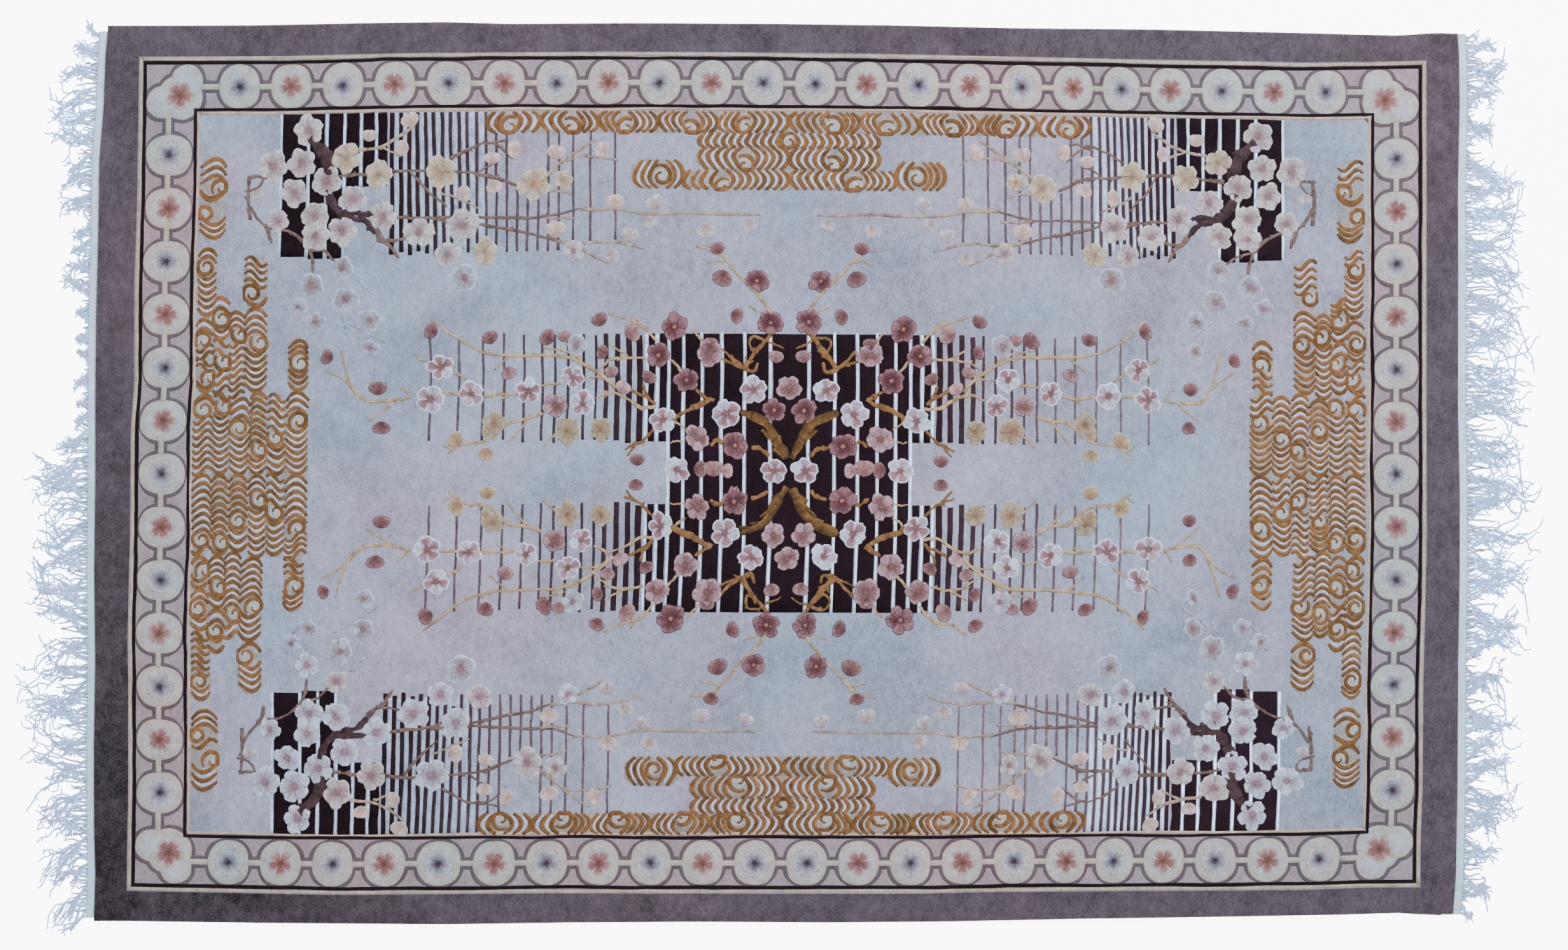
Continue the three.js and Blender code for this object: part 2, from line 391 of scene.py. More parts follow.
# Down the rounded edge of the pile: how far in from the edge, and how high
RIM = [(2.5, GROUND), (1.3, GROUND - 0.35), (0.4, GROUND - 1.1), (0.0, GROUND - 2.4), (0.0, 4.6), (0.4, 4.0)]
SIDE_INSET = 2.5
# The sheet is wool above this height, and the cotton back below it
PILE_FOOT = 4.5
COTTON_BACK = 3


def grid_lines(half, band, fine):
    outer = np.linspace(half + band - RIM[0][0], half, 7)
    border = np.linspace(half, half - BORDER_IN, 9)[1:]
    field = np.linspace(half - BORDER_IN, -(half - BORDER_IN), fine + 1)[1:-1]
    return np.concatenate([-outer, -border, field[::-1], border[::-1], outer[::-1]])


def coordinates(mesh):
    co = np.zeros(len(mesh.vertices) * 3)
    mesh.vertices.foreach_get("co", co)
    return co.reshape(-1, 3)


lines_u = grid_lines(HALF_U, BAND_U, 150)
lines_v = grid_lines(HALF_V, BAND_V, 96)

bm = bmesh.new()
bmesh.ops.create_grid(bm, x_segments=len(lines_u) - 1, y_segments=len(lines_v) - 1, size=1.0)
for vert in bm.verts:
    i = round((vert.co.x + 1) / 2 * (len(lines_u) - 1))
    j = round((vert.co.y + 1) / 2 * (len(lines_v) - 1))
    vert.co = (lines_u[i], lines_v[j], GROUND)
for face in bm.faces:
    u, v, _ = face.calc_center_median()
    inside = min(HALF_U - abs(u), HALF_V - abs(v))
    face.material_index = 0 if inside < 0 else 1 if inside < BORDER_IN else 2
rim_u, rim_v = lines_u[-1], lines_v[-1]
edges = [e for e in bm.edges if e.is_boundary]
rings = RIM[1:] + [("under", 4.0), ("floor", 0.0)]
for inset, height in rings:
    new = bmesh.ops.extrude_edge_only(bm, edges=edges)["geom"]
    edges = [g for g in new if isinstance(g, bmesh.types.BMEdge)]
    under = inset in ("under", "floor")
    inset_u = 0.0 if under or height <= PILE_FOOT else inset
    inset_v = SIDE_INSET if under else inset
    for vert in {v for e in edges for v in e.verts}:
        u, v = vert.co.x, vert.co.y
        if abs(u) > rim_u - 0.01:
            u = math.copysign(HALF_U + BAND_U - inset_u, u)
        if abs(v) > rim_v - 0.01:
            v = math.copysign(HALF_V + BAND_V - inset_v, v)
        vert.co = (u, v, height)
    for face in {f for e in edges for f in e.link_faces}:
        face.material_index = 0 if height > PILE_FOOT else COTTON_BACK
edges = [e for e in bm.edges if e.is_boundary]
closing = bmesh.ops.contextual_create(bm, geom=edges)["faces"]
for face in closing:
    face.material_index = COTTON_BACK
bmesh.ops.recalc_face_normals(bm, faces=bm.faces)
pile_mesh = bpy.data.meshes.new("pile_sheet")
bm.to_mesh(pile_mesh)
bm.free()
pile_mesh.vertices.foreach_set("co", lay_down(*coordinates(pile_mesh).T).ravel())
pile_mesh.update()
pile_mesh.shade_smooth()
for face in pile_mesh.polygons:
    face.use_smooth = face.material_index != COTTON_BACK
pile_sheet = add_object("pile_sheet", pile_mesh)
print("pile sheet", len(pile_mesh.polygons), "faces")

# %% [markdown]
# ## Guard lines
# Two pairs of narrow lines frame the border: cream and black outside, black and peachy cream inside.
# On the loom they are a few knots wide. Each is four strips laid round a rectangle, mitred at the
# corners like a picture frame, because lapped strips would leave a notch there.

# %% Guard lines
# near and far are measured inwards from the cream line's outer side. The inner pair strays by
# so much further in on the left, right, top and bottom.
# Each line's edge is a darker copy of its body, painted shade of the carved groove at its feet.
GUARDS = [
    {"near": 0.8, "far": 6.0, "body": GUARD_CREAM, "edge": darker(GUARD_CREAM, 0.6), "height": 0.75,
     "stray": 0},
    {"near": 5.5, "far": 11.2, "body": BLACK, "edge": BLACK, "height": 0.8, "stray": 0},
    {"near": 70.4, "far": 75.6, "body": BLACK, "edge": BLACK, "height": 0.8, "stray": 1},
    {"near": 75.0, "far": 79.6, "body": INNER_CREAM, "edge": darker(INNER_CREAM, 0.75), "height": 0.6,
     "stray": 1},
]
STRAY = {"left": 4.6, "right": 0.2, "top": -1.0, "bottom": 2.6}


def frame_of_strips(near, far, body, edge, height, stray):
    made = []
    half = (far - near) / 2
    u, v = HALF_U - (near + far) / 2, HALF_V - (near + far) / 2
    left, right = -u + stray * STRAY["left"], u - stray * STRAY["right"]
    top, bottom = v - stray * STRAY["top"], -v + stray * STRAY["bottom"]
    corners = [(left, top), (right, top), (right, bottom), (left, bottom)]
    still = np.sin(np.linspace(0, math.pi, 97)) ** 0.4
    for a, b in zip(corners, corners[1:] + corners[:1]):
        path = np.linspace(a, b, 97)
        path[:, 1 if a[1] == b[1] else 0] += wander(97, 1.3) * still
        width = half * (1 + wander(97, 0.16) * still)
        made.append(along(path, width, height, body, edge, steps=96, shoulder=0.8, grain=0.07, mitre=True))
    return made


guards = []
for row in GUARDS:
    guards += frame_of_strips(**row)
join("guard_lines", guards)

# %% [markdown]
# ## Border of roundels
# Cream discs linked by a bar run round the border, each with a small five-petalled blossom, rose and
# blue by turns, and a larger three-lobed medallion in each corner. A grey-mauve line hugs the discs
# and the bar: it is the rim of a slightly wider shape laid under the cream one.

# %% Roundels, links and corner medallions
BAND_MIDDLE = 41.1
LINE_WIDE = 4.8
PITCH_LONG = 70.43
PITCH_SHORT = 71.7
FIRST_LONG, LONG_COUNT = -739.5, 22
FIRST_SHORT, SHORT_COUNT = -430.2, 13
ROUND_ALONG = 27.9
ROUND_ACROSS = 30.2
LEFT_ACROSS = 31.6
ROUND_MOST = 33.5
LINK_HALF = 4.4
LINK_REACH = 11
LINK_RISE = 0.56
# A disc's ring colours from the foot in; the darker outer rings are painted shade of the carved groove.
RIM_GREY = (darker(MAUVE_GREY, 0.7), darker(MAUVE_GREY, 0.9), MAUVE_GREY, MAUVE_GREY, MAUVE_GREY)
RIM_CREAM = (darker(ROUNDEL_CREAM, 0.6), darker(ROUNDEL_CREAM, 0.8), ROUNDEL_CREAM, ROUNDEL_WHITE,
             ROUNDEL_WHITE)


def superellipse(a, b, power=2.3, uneven=0.012):
    lean = random.uniform(0, 2 * math.pi, 2)

    def outline(angle):
        reach = (np.abs(np.cos(angle) / a) ** power + np.abs(np.sin(angle) / b) ** power) ** (-1 / power)
        return reach * (1 + uneven * (np.sin(3 * angle + lean[0]) + np.sin(5 * angle + lean[1])))
    return outline


def disc(centre, outline, height, rings):
    levels = (-0.5, height * 0.45, height, height, height)
    return pressed(coin, centre, outline, (1, 0.995, 0.955, 0.5, 0.1), levels, rings)


def roundel(centre, a, b):
    """A cream disc on its grey line, which stops where the guard lines begin."""
    wide = superellipse(min(a + LINE_WIDE, ROUND_MOST), min(b + LINE_WIDE, ROUND_MOST))
    return [disc(centre, wide, 0.3, RIM_GREY), disc(centre, superellipse(a, b), 0.62, RIM_CREAM)]


def link(a, b):
    path = np.linspace(a, b, 2)
    # The feet take the darkest ring colours, painted shade of the carved groove.
    return [along(path, LINK_HALF + LINE_WIDE, LINK_RISE - 0.3, MAUVE_GREY, RIM_GREY[0], steps=4),
            along(path, LINK_HALF, LINK_RISE, ROUNDEL_CREAM, RIM_CREAM[0], steps=4)]


row_v = HALF_V - BAND_MIDDLE
column_u = HALF_U - BAND_MIDDLE
long_places = [(FIRST_LONG + PITCH_LONG * k, sign * row_v) for sign in (1, -1) for k in range(LONG_COUNT)]
short_places = [(u, FIRST_SHORT + PITCH_SHORT * k) for u in (column_u, -column_u + 1.8)
                for k in range(SHORT_COUNT)]
border = []
for place in long_places:
    border += roundel(place, ROUND_ALONG, ROUND_ACROSS)
for place in short_places:
    border += roundel(place, LEFT_ACROSS if place[0] < 0 else ROUND_ACROSS, ROUND_ALONG)
for sign in (1, -1):
    for k in range(LONG_COUNT - 1):
        u = FIRST_LONG + PITCH_LONG * (k + 0.5)
        border += link((u - LINK_REACH, sign * row_v), (u + LINK_REACH, sign * row_v))
    for k in range(SHORT_COUNT - 1):
        v = FIRST_SHORT + PITCH_SHORT * (k + 0.5)
        border += link((sign * column_u, v - LINK_REACH), (sign * column_u, v + LINK_REACH))

LOBES = [{"u": 57.0, "v": 55.0, "r": 30.5, "lift": 0.0}, {"u": 66.0, "v": 32.4, "r": 21.6, "lift": 0.012},
         {"u": 32.4, "v": 62.0, "r": 22.0, "lift": 0.024}]


def medallion(su, sv):
    made = []
    for lobe in LOBES:
        centre = (su * (HALF_U - lobe["u"]), sv * (HALF_V - lobe["v"]))
        wide = lobe["r"] + LINE_WIDE
        made.append(disc(centre, superellipse(wide, wide, 2.1), 0.28 + lobe["lift"], RIM_GREY))
        made.append(disc(centre, superellipse(lobe["r"], lobe["r"], 2.1), 0.6 + lobe["lift"], RIM_CREAM))
    u, v = su * (HALF_U - 57.5), sv * (HALF_V - 55.5)
    made += link((u, sv * row_v), (su * 768, sv * row_v))
    made += link((su * column_u, v), (su * column_u, sv * 456))
    return made


join("border_roundels", border + mirrored(medallion))

# %% [markdown]
# ## Bars
# Near-black slabs, cut by pale lines, stand in each corner of the field and at its centre. Away from
# them the bars grow thinner, paler and further apart, like a screen in mist. Each bar is a strip
# whose sides wander a little, and the rhythm is a short table that is mirrored.

# %% Bars of the corners and the centre
CORNER_TOP = 484.5
CORNER_LOW = 293.0
STRIP_NEAR = 42.0
STRIP_FAR = 186.5
BAR_DEEP = dye(42, 26, 34)
BAR_MID = dye(72, 56, 66)
BAR_FADED = dye(112, 98, 108)
BAR_EDGE = dye(176, 186, 199)

# A slab between two pale lines: where it starts and ends along the rug, and how low it reaches
CORNER_SLABS = [
    {"from": 679.5, "to": 647.0, "low": 293.0}, {"from": 642.0, "to": 622.5, "low": 290.0},
    {"from": 617.5, "to": 598.0, "low": 290.0}, {"from": 592.8, "to": 575.5, "low": 386.0},
    {"from": 570.6, "to": 554.8, "low": 386.0}, {"from": 549.8, "to": 537.0, "low": 386.0},
]
# The bars that follow: their place, how high and how low they reach, and their width
CORNER_BARS = [(531.0, 484, 294, 7.4), (519.5, 484, 297, 6.8), (508.8, 484, 293, 6.6),
               (498.2, 484, 298, 6.4), (487.6, 484, 295, 6.2), (477.4, 484, 293, 6.0),
               (467.0, 484, 296, 5.8), (456.8, 484, 299, 5.6),
               (446.3, 484, 312, 5.4), (436.0, 484, 296, 5.4), (424.0, 484, 294, 5.2), (412.0, 484, 300, 5.0),
               (398.5, 456, 305, 4.8), (384.0, 456, 296, 4.8), (370.0, 380, 297, 5.0), (356.0, 374, 297, 5.0),
               (341.5, 368, 298, 5.0), (328.0, 456, 297, 4.8), (313.5, 456, 298, 4.6), (294.0, 456, 312, 4.4),
               (270.5, 456, 310, 4.4), (237.0, 456, 312, 4.4)]
PALE_CENTRE = [26.0, 61.0, 92.0, 119.0, 144.0, 164.0, 179.7, 194.4]
STRIP_BARS = [(203.5, 9.6), (218.0, 8.8), (233.5, 8.2), (249.0, 7.4), (263.0, 5.0), (279.5, 5.0),
              (301.0, 5.0), (318.5, 4.8), (335.5, 4.8), (360.5, 4.8), (387.5, 4.6), (416.0, 4.6),
              (449.0, 4.6), (487.0, 4.4)]
BAR_RISE = 0.5
LINE_RISE = 0.44


def bar(u, half, low, high, height, body, edge=None):
    path = np.stack([u + wander(25, 0.8), np.linspace(low, high, 25)], axis=1)
    # Unless an edge is given, the feet are a darker copy of the bar: painted shade of the carved groove.
    return along(path, half + wander(25, 0.35), height, body, darker(body, 0.9) if edge is None else edge,
                 steps=16, grain=0.09)


def faded(share):
    if share < 0.5:
        return mix(BAR_DEEP, BAR_MID, 2 * share)
    return mix(BAR_MID, BAR_FADED, 2 * share - 1)


def corner_screen(su, sv):
    made = []
    for slab in CORNER_SLABS:
        middle = su * (slab["from"] + slab["to"]) / 2
        half = (slab["from"] - slab["to"]) / 2 + 0.6
        made.append(bar(middle, half, sv * slab["low"], sv * CORNER_TOP, BAR_RISE, BLACK))
    for k, (place, top, low, width) in enumerate(CORNER_BARS):
        share = min(1.0, max(0.0, (k - 1) / 15))
        # Dark bars get darker feet, painted shade of the carved groove; faded bars get pale feet.
        edge = BAR_EDGE if k > 10 else darker(BAR_DEEP, 0.8)
        made.append(bar(su * place, width / 2, sv * low, sv * top, BAR_RISE, faded(share), edge))
    return made


def centre_screen(su, sv):
    """The strips above and below the block, in the quarter (su, sv)."""
    made = []
    for near, far in zip(PALE_CENTRE[-3:], PALE_CENTRE[-2:]):
        made.append(bar(su * (near + far) / 2, (far - near) / 2 - 2.4, sv * STRIP_NEAR, sv * STRIP_FAR,
                        BAR_RISE, BLACK))
    for k, (place, width) in enumerate(STRIP_BARS):
        share = min(1.0, k / 12)
        # Dark bars get darker feet, painted shade of the carved groove; faded bars get pale feet.
        edge = BAR_EDGE if k > 3 else darker(BAR_DEEP, 0.8)
        made.append(bar(su * place, width / 2, sv * (STRIP_NEAR + random.uniform(-3, 3)),
                        sv * (STRIP_FAR + random.uniform(-5, 1)), BAR_RISE, faded(share), edge))
    return made


def centre_block():
    """The block's slabs run through from strip to strip, so no seam shows where the halves meet."""
    made = [bar(0.0, PALE_CENTRE[0] - 2.4, -STRIP_FAR, STRIP_FAR, BAR_RISE, BLACK)]
    for su in (-1, 1):
        for near, far in zip(PALE_CENTRE[:-3], PALE_CENTRE[1:-2]):
            made.append(bar(su * (near + far) / 2, (far - near) / 2 - 2.0, -STRIP_FAR, STRIP_FAR,
                            BAR_RISE, BLACK))
        for place in PALE_CENTRE[:-2]:
            made.append(bar(su * place, 2.4, -STRIP_FAR - 2, STRIP_FAR + 2, LINE_RISE, PALE_LINE))
    return made


def pale_lines(su, sv):
    made = []
    gaps = [(a["to"] + b["from"]) / 2 for a, b in zip(CORNER_SLABS, CORNER_SLABS[1:])]
    for place in [682.0] + gaps:
        low = CORNER_LOW if place > 590 else 386
        made.append(bar(su * place, 2.3, sv * low, sv * CORNER_TOP, LINE_RISE, PALE_LINE))
    places = [CORNER_SLABS[-1]["to"]] + [row[0] for row in CORNER_BARS[:12]]
    for a, b in zip(places, places[1:]):
        made.append(bar(su * (a + b) / 2, abs(a - b) / 2 - 2.4, sv * 300, sv * CORNER_TOP, 0.4, BAR_EDGE))
    for place in PALE_CENTRE[-2:]:
        made.append(bar(su * place, 2.6, sv * STRIP_NEAR, sv * STRIP_FAR, LINE_RISE, PALE_LINE))
    return made


join("bars", mirrored(pale_lines) + mirrored(corner_screen) + centre_block() + mirrored(centre_screen))

# %% [markdown]
# ## Waves
# Bands of stylised water fill the middle of each side of the field. They are rows of curved strokes,
# gold-brown with pale crescents between, that bend round pale eyes. Strokes of neighbouring eyes meet
# back to back. The rule is simple, so the rows are made by it: each eye is wrapped by one stroke, and
# sends arcs both ways along its row until they meet the next eye's arcs.

# %% Wave rows
# across bounds a row's width, run its length, and eyes are (place along the run, place across from 0 to 1).
# Each row is mirrored into every quarter. One that starts below zero crosses the rug's middle, so it is
# mirrored only to the other side.
SIDE_ROWS = [
    {"across": (756, 791), "run": (318, 426), "eyes": [(386, 0.2), (350, 0.8)]},
    {"across": (766, 791), "run": (214, 304), "eyes": [(280, 0.6)]},
    {"across": (769, 793), "run": (110, 210), "eyes": [(180, 0.6), (130, 0.2)]},
    {"across": (767, 794), "run": (0, 108), "eyes": [(88, 0.5)]},
    {"across": (747, 770), "run": (110, 240), "eyes": [(210, 0.5), (152, 0.3)]},
    {"across": (745, 767), "run": (0, 110), "eyes": [(92, 0.3)]},
    {"across": (726, 748), "run": (104, 220), "eyes": [(188, 0.3)]},
    {"across": (718, 744), "run": (0, 104), "eyes": [(62, 0.5)]},
    {"across": (697, 728), "run": (226, 292), "eyes": [(243, 0.7)]},
    {"across": (697, 727), "run": (112, 224), "eyes": [(178, 0.3)]},
    {"across": (694, 717), "run": (0, 112), "eyes": [(34, 0.3)]},
    {"across": (668, 693), "run": (0, 108), "eyes": [(50, 0.5)]},
    {"across": (641, 668), "run": (112, 182), "eyes": [(150, 0.4)]},
    {"across": (638, 668), "run": (0, 112), "eyes": [(72, 0.4)]},
]
TOP_ROWS = [
    {"across": (456, 484), "run": (0, 412),
     "eyes": [(60, 0.3), (134, 0.1), (222, 0.2), (297, 0.2), (380, 0.3)]},
    {"across": (436, 456), "run": (-124, 124), "eyes": [(0, 0.4)]},
    {"across": (406, 436), "run": (0, 124), "eyes": [(60, 0.2)]},
    {"across": (380, 406), "run": (0, 146), "eyes": [(90, 0.05)]},
    {"across": (381, 419), "run": (144, 212), "eyes": [(174, 0.45)]},
]
SIDE_STROKES = {"pitch": 9.8, "gold": 3.1, "pale": 2.2, "eye": 8.4}
TOP_STROKES = {"pitch": 10.8, "gold": 3.4, "pale": 2.5, "eye": 9.2}
EYE_GAP = 2.6
MOST_BULGE = 11.5
ESS_SHARE = 0.22
eye_coin = coin_template(17, 4)


def stroke(line, half, pale=False, steps=7):
    """One brush-like stroke, thicker at one end than at the other."""
    brush = np.array([0.62, 1.0, 1.14, 1.04, 0.8])
    brush = brush if random.uniform() < 0.5 else brush[::-1]
    # The feet of each stroke are a darker copy of its dye, painted shade of the carved groove.
    if pale:
        return along(line, half * brush, 0.55, CRESCENT, darker(CRESCENT, 0.75), shoulder=0.9, grain=0.08)
    body = mix(GOLD_DEEP, GOLD, random.uniform(0.2, 1.0))
    return along(line, half * brush * random.uniform(0.94, 1.12), 0.85, body, darker(GOLD_DEEP, 0.8),
                 mix(body, GOLD_DEEP, 0.45), steps=steps, shoulder=1.2, grain=0.14)


def arc(at, facing, low, high, bulge, bend, kind):
    """Points of one stroke as (along, across), bulging towards facing, with its height at bend."""
    share = np.linspace(-1, 1, 13)
    if kind == "ess":
        curve = np.sin(share * math.pi * 0.9) * 0.62
    else:
        curve = 0.35 - (share - bend * 0.4 * (1 - share ** 2)) ** 2
    return np.stack([at + facing * bulge * curve, (low + high) / 2 + (high - low) / 2 * share], axis=1)


def wrap(eye, across, radius, facing, low, high):
    """The stroke that starts inside an eye and curls out round it, cut off level at its row's edges."""
    turn = np.linspace(-4.8, 2.2, 33)
    reach = radius * (1 + 0.10 * turn - 0.07 * np.maximum(-1.2 - turn, 0))
    line = np.stack([eye + facing * reach * np.cos(turn), across + reach * np.sin(turn)], axis=1)
    line[:, 1] = np.clip(line[:, 1], low, high)
    return line


def eye_disc(centre, radius):
    """A pale eye with one incised ring."""
    shares = (1, 0.99, 0.84, 0.56, 0.24)
    # The foot and the incised ring are darker, painted shade in the grooves; the ring is also cut lower.
    tones = [darker(EYE_PALE, k) for k in (0.6, 0.85, 1.0, 0.78, 0.97)]
    return pressed(eye_coin, centre, superellipse(radius, radius, 2.0, 0.03), shares,
                   (-0.5, 0.4, 0.66, 0.4, 0.62), tones)


def wave_row(row, place, size):
    gold, pale = [], []
    low, high = row["across"][0] + 0.2, row["across"][1] - 0.2
    start, stop = row["run"]
    eyes = row["eyes"]
    bounds = [start] + [(a[0] + b[0]) / 2 for a, b in zip(eyes, eyes[1:])] + [stop]
    bounds = sorted(bounds) if eyes[0][0] < eyes[-1][0] or len(eyes) == 1 else sorted(bounds)[::-1]
    bulge = min(MOST_BULGE, (high - low) * 0.4)
    for k, (eye, share) in enumerate(eyes):
        ends = sorted((bounds[k], bounds[k + 1]))
        across = low + (high - low) * share
        radius = min(size["eye"] * random.uniform(0.85, 1.1), (high - low) / 2 - 2)
        turned = random.choice([-1, 1])
        gold.append(stroke(place(wrap(eye, across, radius + EYE_GAP, turned, low, high)), size["gold"],
                           steps=16))
        middle = np.clip(across, low + radius * 0.7, high - radius * 0.7)
        pale.append(eye_disc(place(np.array([[eye, middle]]))[0], radius))
        for facing in (-1, 1):
            room = abs(ends[1 if facing > 0 else 0] - eye) - 2.5
            kind = "ess" if random.uniform() < ESS_SHARE and size is SIDE_STROKES else "arch"
            bend = random.uniform(-0.7, 0.7)
            first = radius + EYE_GAP + (3.0 if facing == turned else 0.0)
            room -= bulge * 0.2
            if room < first:
                continue
            places = np.linspace(first, room, max(1, round((room - first) / size["pitch"])) + 1)
            white = random.uniform() < 0.75
            for at, following in zip(places, list(places[1:]) + [None]):
                start_at = eye + facing * (at + random.uniform(-0.6, 0.6))
                line = arc(start_at, facing, low, high, bulge, bend, kind)
                gold.append(stroke(place(line), size["gold"]))
                if following is not None and white:
                    line = arc(eye + facing * (at + following) / 2, facing, low, high, bulge, bend, kind)
                    pale.append(stroke(place(line[1:-1]), size["pale"], pale=True))
    return gold, pale


def place_for(side, su, sv):
    if side == "side":
        return lambda line: np.stack([su * line[:, 1], sv * line[:, 0]], axis=1)
    return lambda line: np.stack([su * line[:, 0], sv * line[:, 1]], axis=1)


def plate(row, place, height):
    """The row's own ground: a low strip with rounded ends."""
    low, high = row["across"][0] - 1.5, row["across"][1] + 1.5
    start, stop = row["run"][0] - (3.0 if row["run"][0] else 0.0), row["run"][1] + 3.0
    length = stop - start
    near = np.array([0, 0.5, 1.8, 4, 7, 11]) / length
    inner = np.linspace(14 / length, 1 - 14 / length, 13)
    stations = np.concatenate([near, inner, (1 - near)[::-1]])
    from_end = np.minimum(stations, 1 - stations) * length
    corner = 10.0
    cut = corner - np.sqrt(np.maximum(corner ** 2 - np.maximum(corner - from_end, 0) ** 2, 0))
    cut = np.where((stations < 0.5) & (row["run"][0] == 0), 0, cut)
    half = (high - low) / 2 - cut
    path = place(np.stack([start + stations * length, np.full(25, (low + high) / 2)], axis=1))
    # Its feet are a darker grey, painted shade of the carved groove round the plate.
    return along(path, half, height, WAVE_PLATE, darker(WAVE_PLATE, 0.86), steps=24, stations=stations)


gold_strokes, pale_strokes, plates = [], [], []
for side, rows, size in (("side", SIDE_ROWS, SIDE_STROKES), ("end", TOP_ROWS, TOP_STROKES)):
    for k, row in enumerate(rows):
        for su in (-1, 1):
            for sv in (-1, 1):
                if row["run"][0] < 0 and su < 0:
                    continue
                place = place_for(side, su, sv)
                gold, pale = wave_row(row, place, size)
                gold_strokes += gold
                pale_strokes += pale
                plates.append(plate(row, place, 0.2 + 0.012 * (k % 5)))
join("wave_strokes", gold_strokes)
join("wave_crescents", pale_strokes + plates)

# %% [markdown]
# ## Boughs
# Plum boughs in flower cross the bars: gold-brown ones spread from the middle, and mauve-brown ones
# grow into each corner. A weaver's chart draws one quarter and turns it over for the others, so the
# boughs are short charts of a quarter, joined by soft lines, with some unevenness in each copy. Knots
# and spurs are added by rule.

# %% Boughs
OCHRE = dye(140, 106, 62)
BARK = dye(92, 70, 42)
RUST = dye(152, 118, 74)
TWIG = dye(184, 171, 144)
PLUM_BARK = dye(88, 66, 72)
TAUPE = dye(138, 117, 110)
PALE_TWIG = dye(176, 166, 156)
FAINT = dye(175, 181, 193)

# A bough: its dye, its width at both ends, and the points it passes through in one quarter
CENTRE_BOUGHS = [
    (OCHRE, 13, 10, [(3, 20), (16, 42), (32, 66), (66, 82)]),
    (OCHRE, 8, 5, [(20, 42), (28, 50), (38, 58)]),
    (RUST, 6.5, 6.5, [(28, 24), (38, 31), (52, 35)]),
    (RUST, 7, 5, [(90, 40), (98, 43), (106, 36)]),
    (RUST, 8, 8.5, [(104, 99), (114, 93), (130, 86), (150, 79), (158, 71)]),
    (RUST, 7, 5.5, [(104, 98), (114, 103), (127, 110)]),
    (TWIG, 5, 3, [(156, 73), (149, 64), (141, 60)]),
    (RUST, 8, 6.5, [(62, 140), (54, 152), (42, 167), (31, 180), (22, 190)]),
    (RUST, 7.5, 6, [(64, 142), (50, 136), (44, 148)]),
    (RUST, 6.5, 4.5, [(60, 139), (76, 145), (94, 153)]),
    (RUST, 6, 5, [(66, 143), (80, 154), (92, 165)]),
    (RUST, 4.5, 4.5, [(43, 168), (50, 162), (56, 172), (52, 181), (38, 181), (33, 178)]),
    (RUST, 4.2, 3, [(30, 176), (20, 173), (6, 166)]),
    (TWIG, 4.5, 3, [(118, 178), (125, 187), (134, 193)]),
    (TWIG, 5, 4, [(146, 134), (154, 144), (162, 152)]),
    (TWIG, 3.2, 2.4, [(144, 41), (152, 42), (160, 41)]),
    (RUST, 5.5, 3.4, [(184, 58), (199, 43), (209, 38), (223, 33)]),
    (RUST, 4, 3, [(206, 39), (214, 31), (220, 23)]),
    (RUST, 7, 3.5, [(184, 91), (194, 104), (200, 119)]),
    (RUST, 5.5, 4, [(190, 99), (203, 104), (216, 111)]),
    (TWIG, 6, 4, [(182, 88), (200, 87), (220, 98), (242, 107), (263, 99)]),
    (TWIG, 6, 3.2, [(236, 112), (256, 130), (280, 145), (302, 155), (340, 157), (382, 157), (420, 164),
                    (452, 181), (486, 209)]),
    (TWIG, 3.6, 3, [(248, 123), (264, 127), (280, 126)]),
    (TWIG, 3.4, 2.6, [(282, 147), (294, 162), (314, 186)]),
    (TWIG, 3.2, 2.6, [(300, 161), (316, 164), (334, 167)]),
    (TWIG, 4.6, 3.6, [(194, 153), (220, 154), (248, 152)]),
    (TWIG, 4, 3, [(220, 155), (232, 163), (246, 171)]),
    (TWIG, 3.6, 2.6, [(242, 152), (250, 146), (259, 141)]),
    (TWIG, 4.6, 3.4, [(180, 177), (198, 196), (226, 205), (246, 214)]),
    (TWIG, 4, 3, [(196, 192), (204, 200), (210, 209)]),
    (TWIG, 4.2, 3.6, [(312, 118), (326, 119), (340, 117)]),
    (TWIG, 4.2, 3.6, [(364, 105), (392, 105), (420, 104), (472, 106)]),
    (TWIG, 3, 2.2, [(380, 104), (387, 100), (394, 96)]),
    (TWIG, 3.8, 3.2, [(440, 125), (450, 132), (460, 138)]),
    (TWIG, 3.4, 2.4, [(486, 148), (498, 153), (506, 161)]),
    (TWIG, 5, 3, [(334, 80), (354, 72), (380, 66), (398, 51), (416, 42), (440, 39), (462, 25)]),
    (TWIG, 3.6, 2.4, [(354, 71), (366, 56), (380, 41)]),
    (TWIG, 3, 2.2, [(455, 30), (463, 34), (468, 38)]),
    (TWIG, 3.4, 2.4, [(314, 54), (324, 44), (333, 35)]),
    (TWIG, 3.4, 2.4, [(380, 157), (390, 148), (401, 139)]),
    (TWIG, 4.8, 3.2, [(510, 103), (528, 99), (564, 98), (584, 121), (598, 165)]),
    (TWIG, 3.2, 2.6, [(582, 117), (598, 128), (618, 140)]),
    (TWIG, 3.4, 2.4, [(527, 99), (543, 86), (562, 72)]),
    (TWIG, 2.8, 2.2, [(512, 104), (518, 110), (524, 116)]),
    (TWIG, 4.6, 3.2, [(20, 204), (24, 214), (42, 238), (66, 263), (86, 285), (100, 296), (126, 301)]),
    (TWIG, 3.2, 2.4, [(24, 214), (40, 217), (56, 224)]),
    (TWIG, 3, 2.2, [(86, 284), (98, 284), (112, 280)]),
]
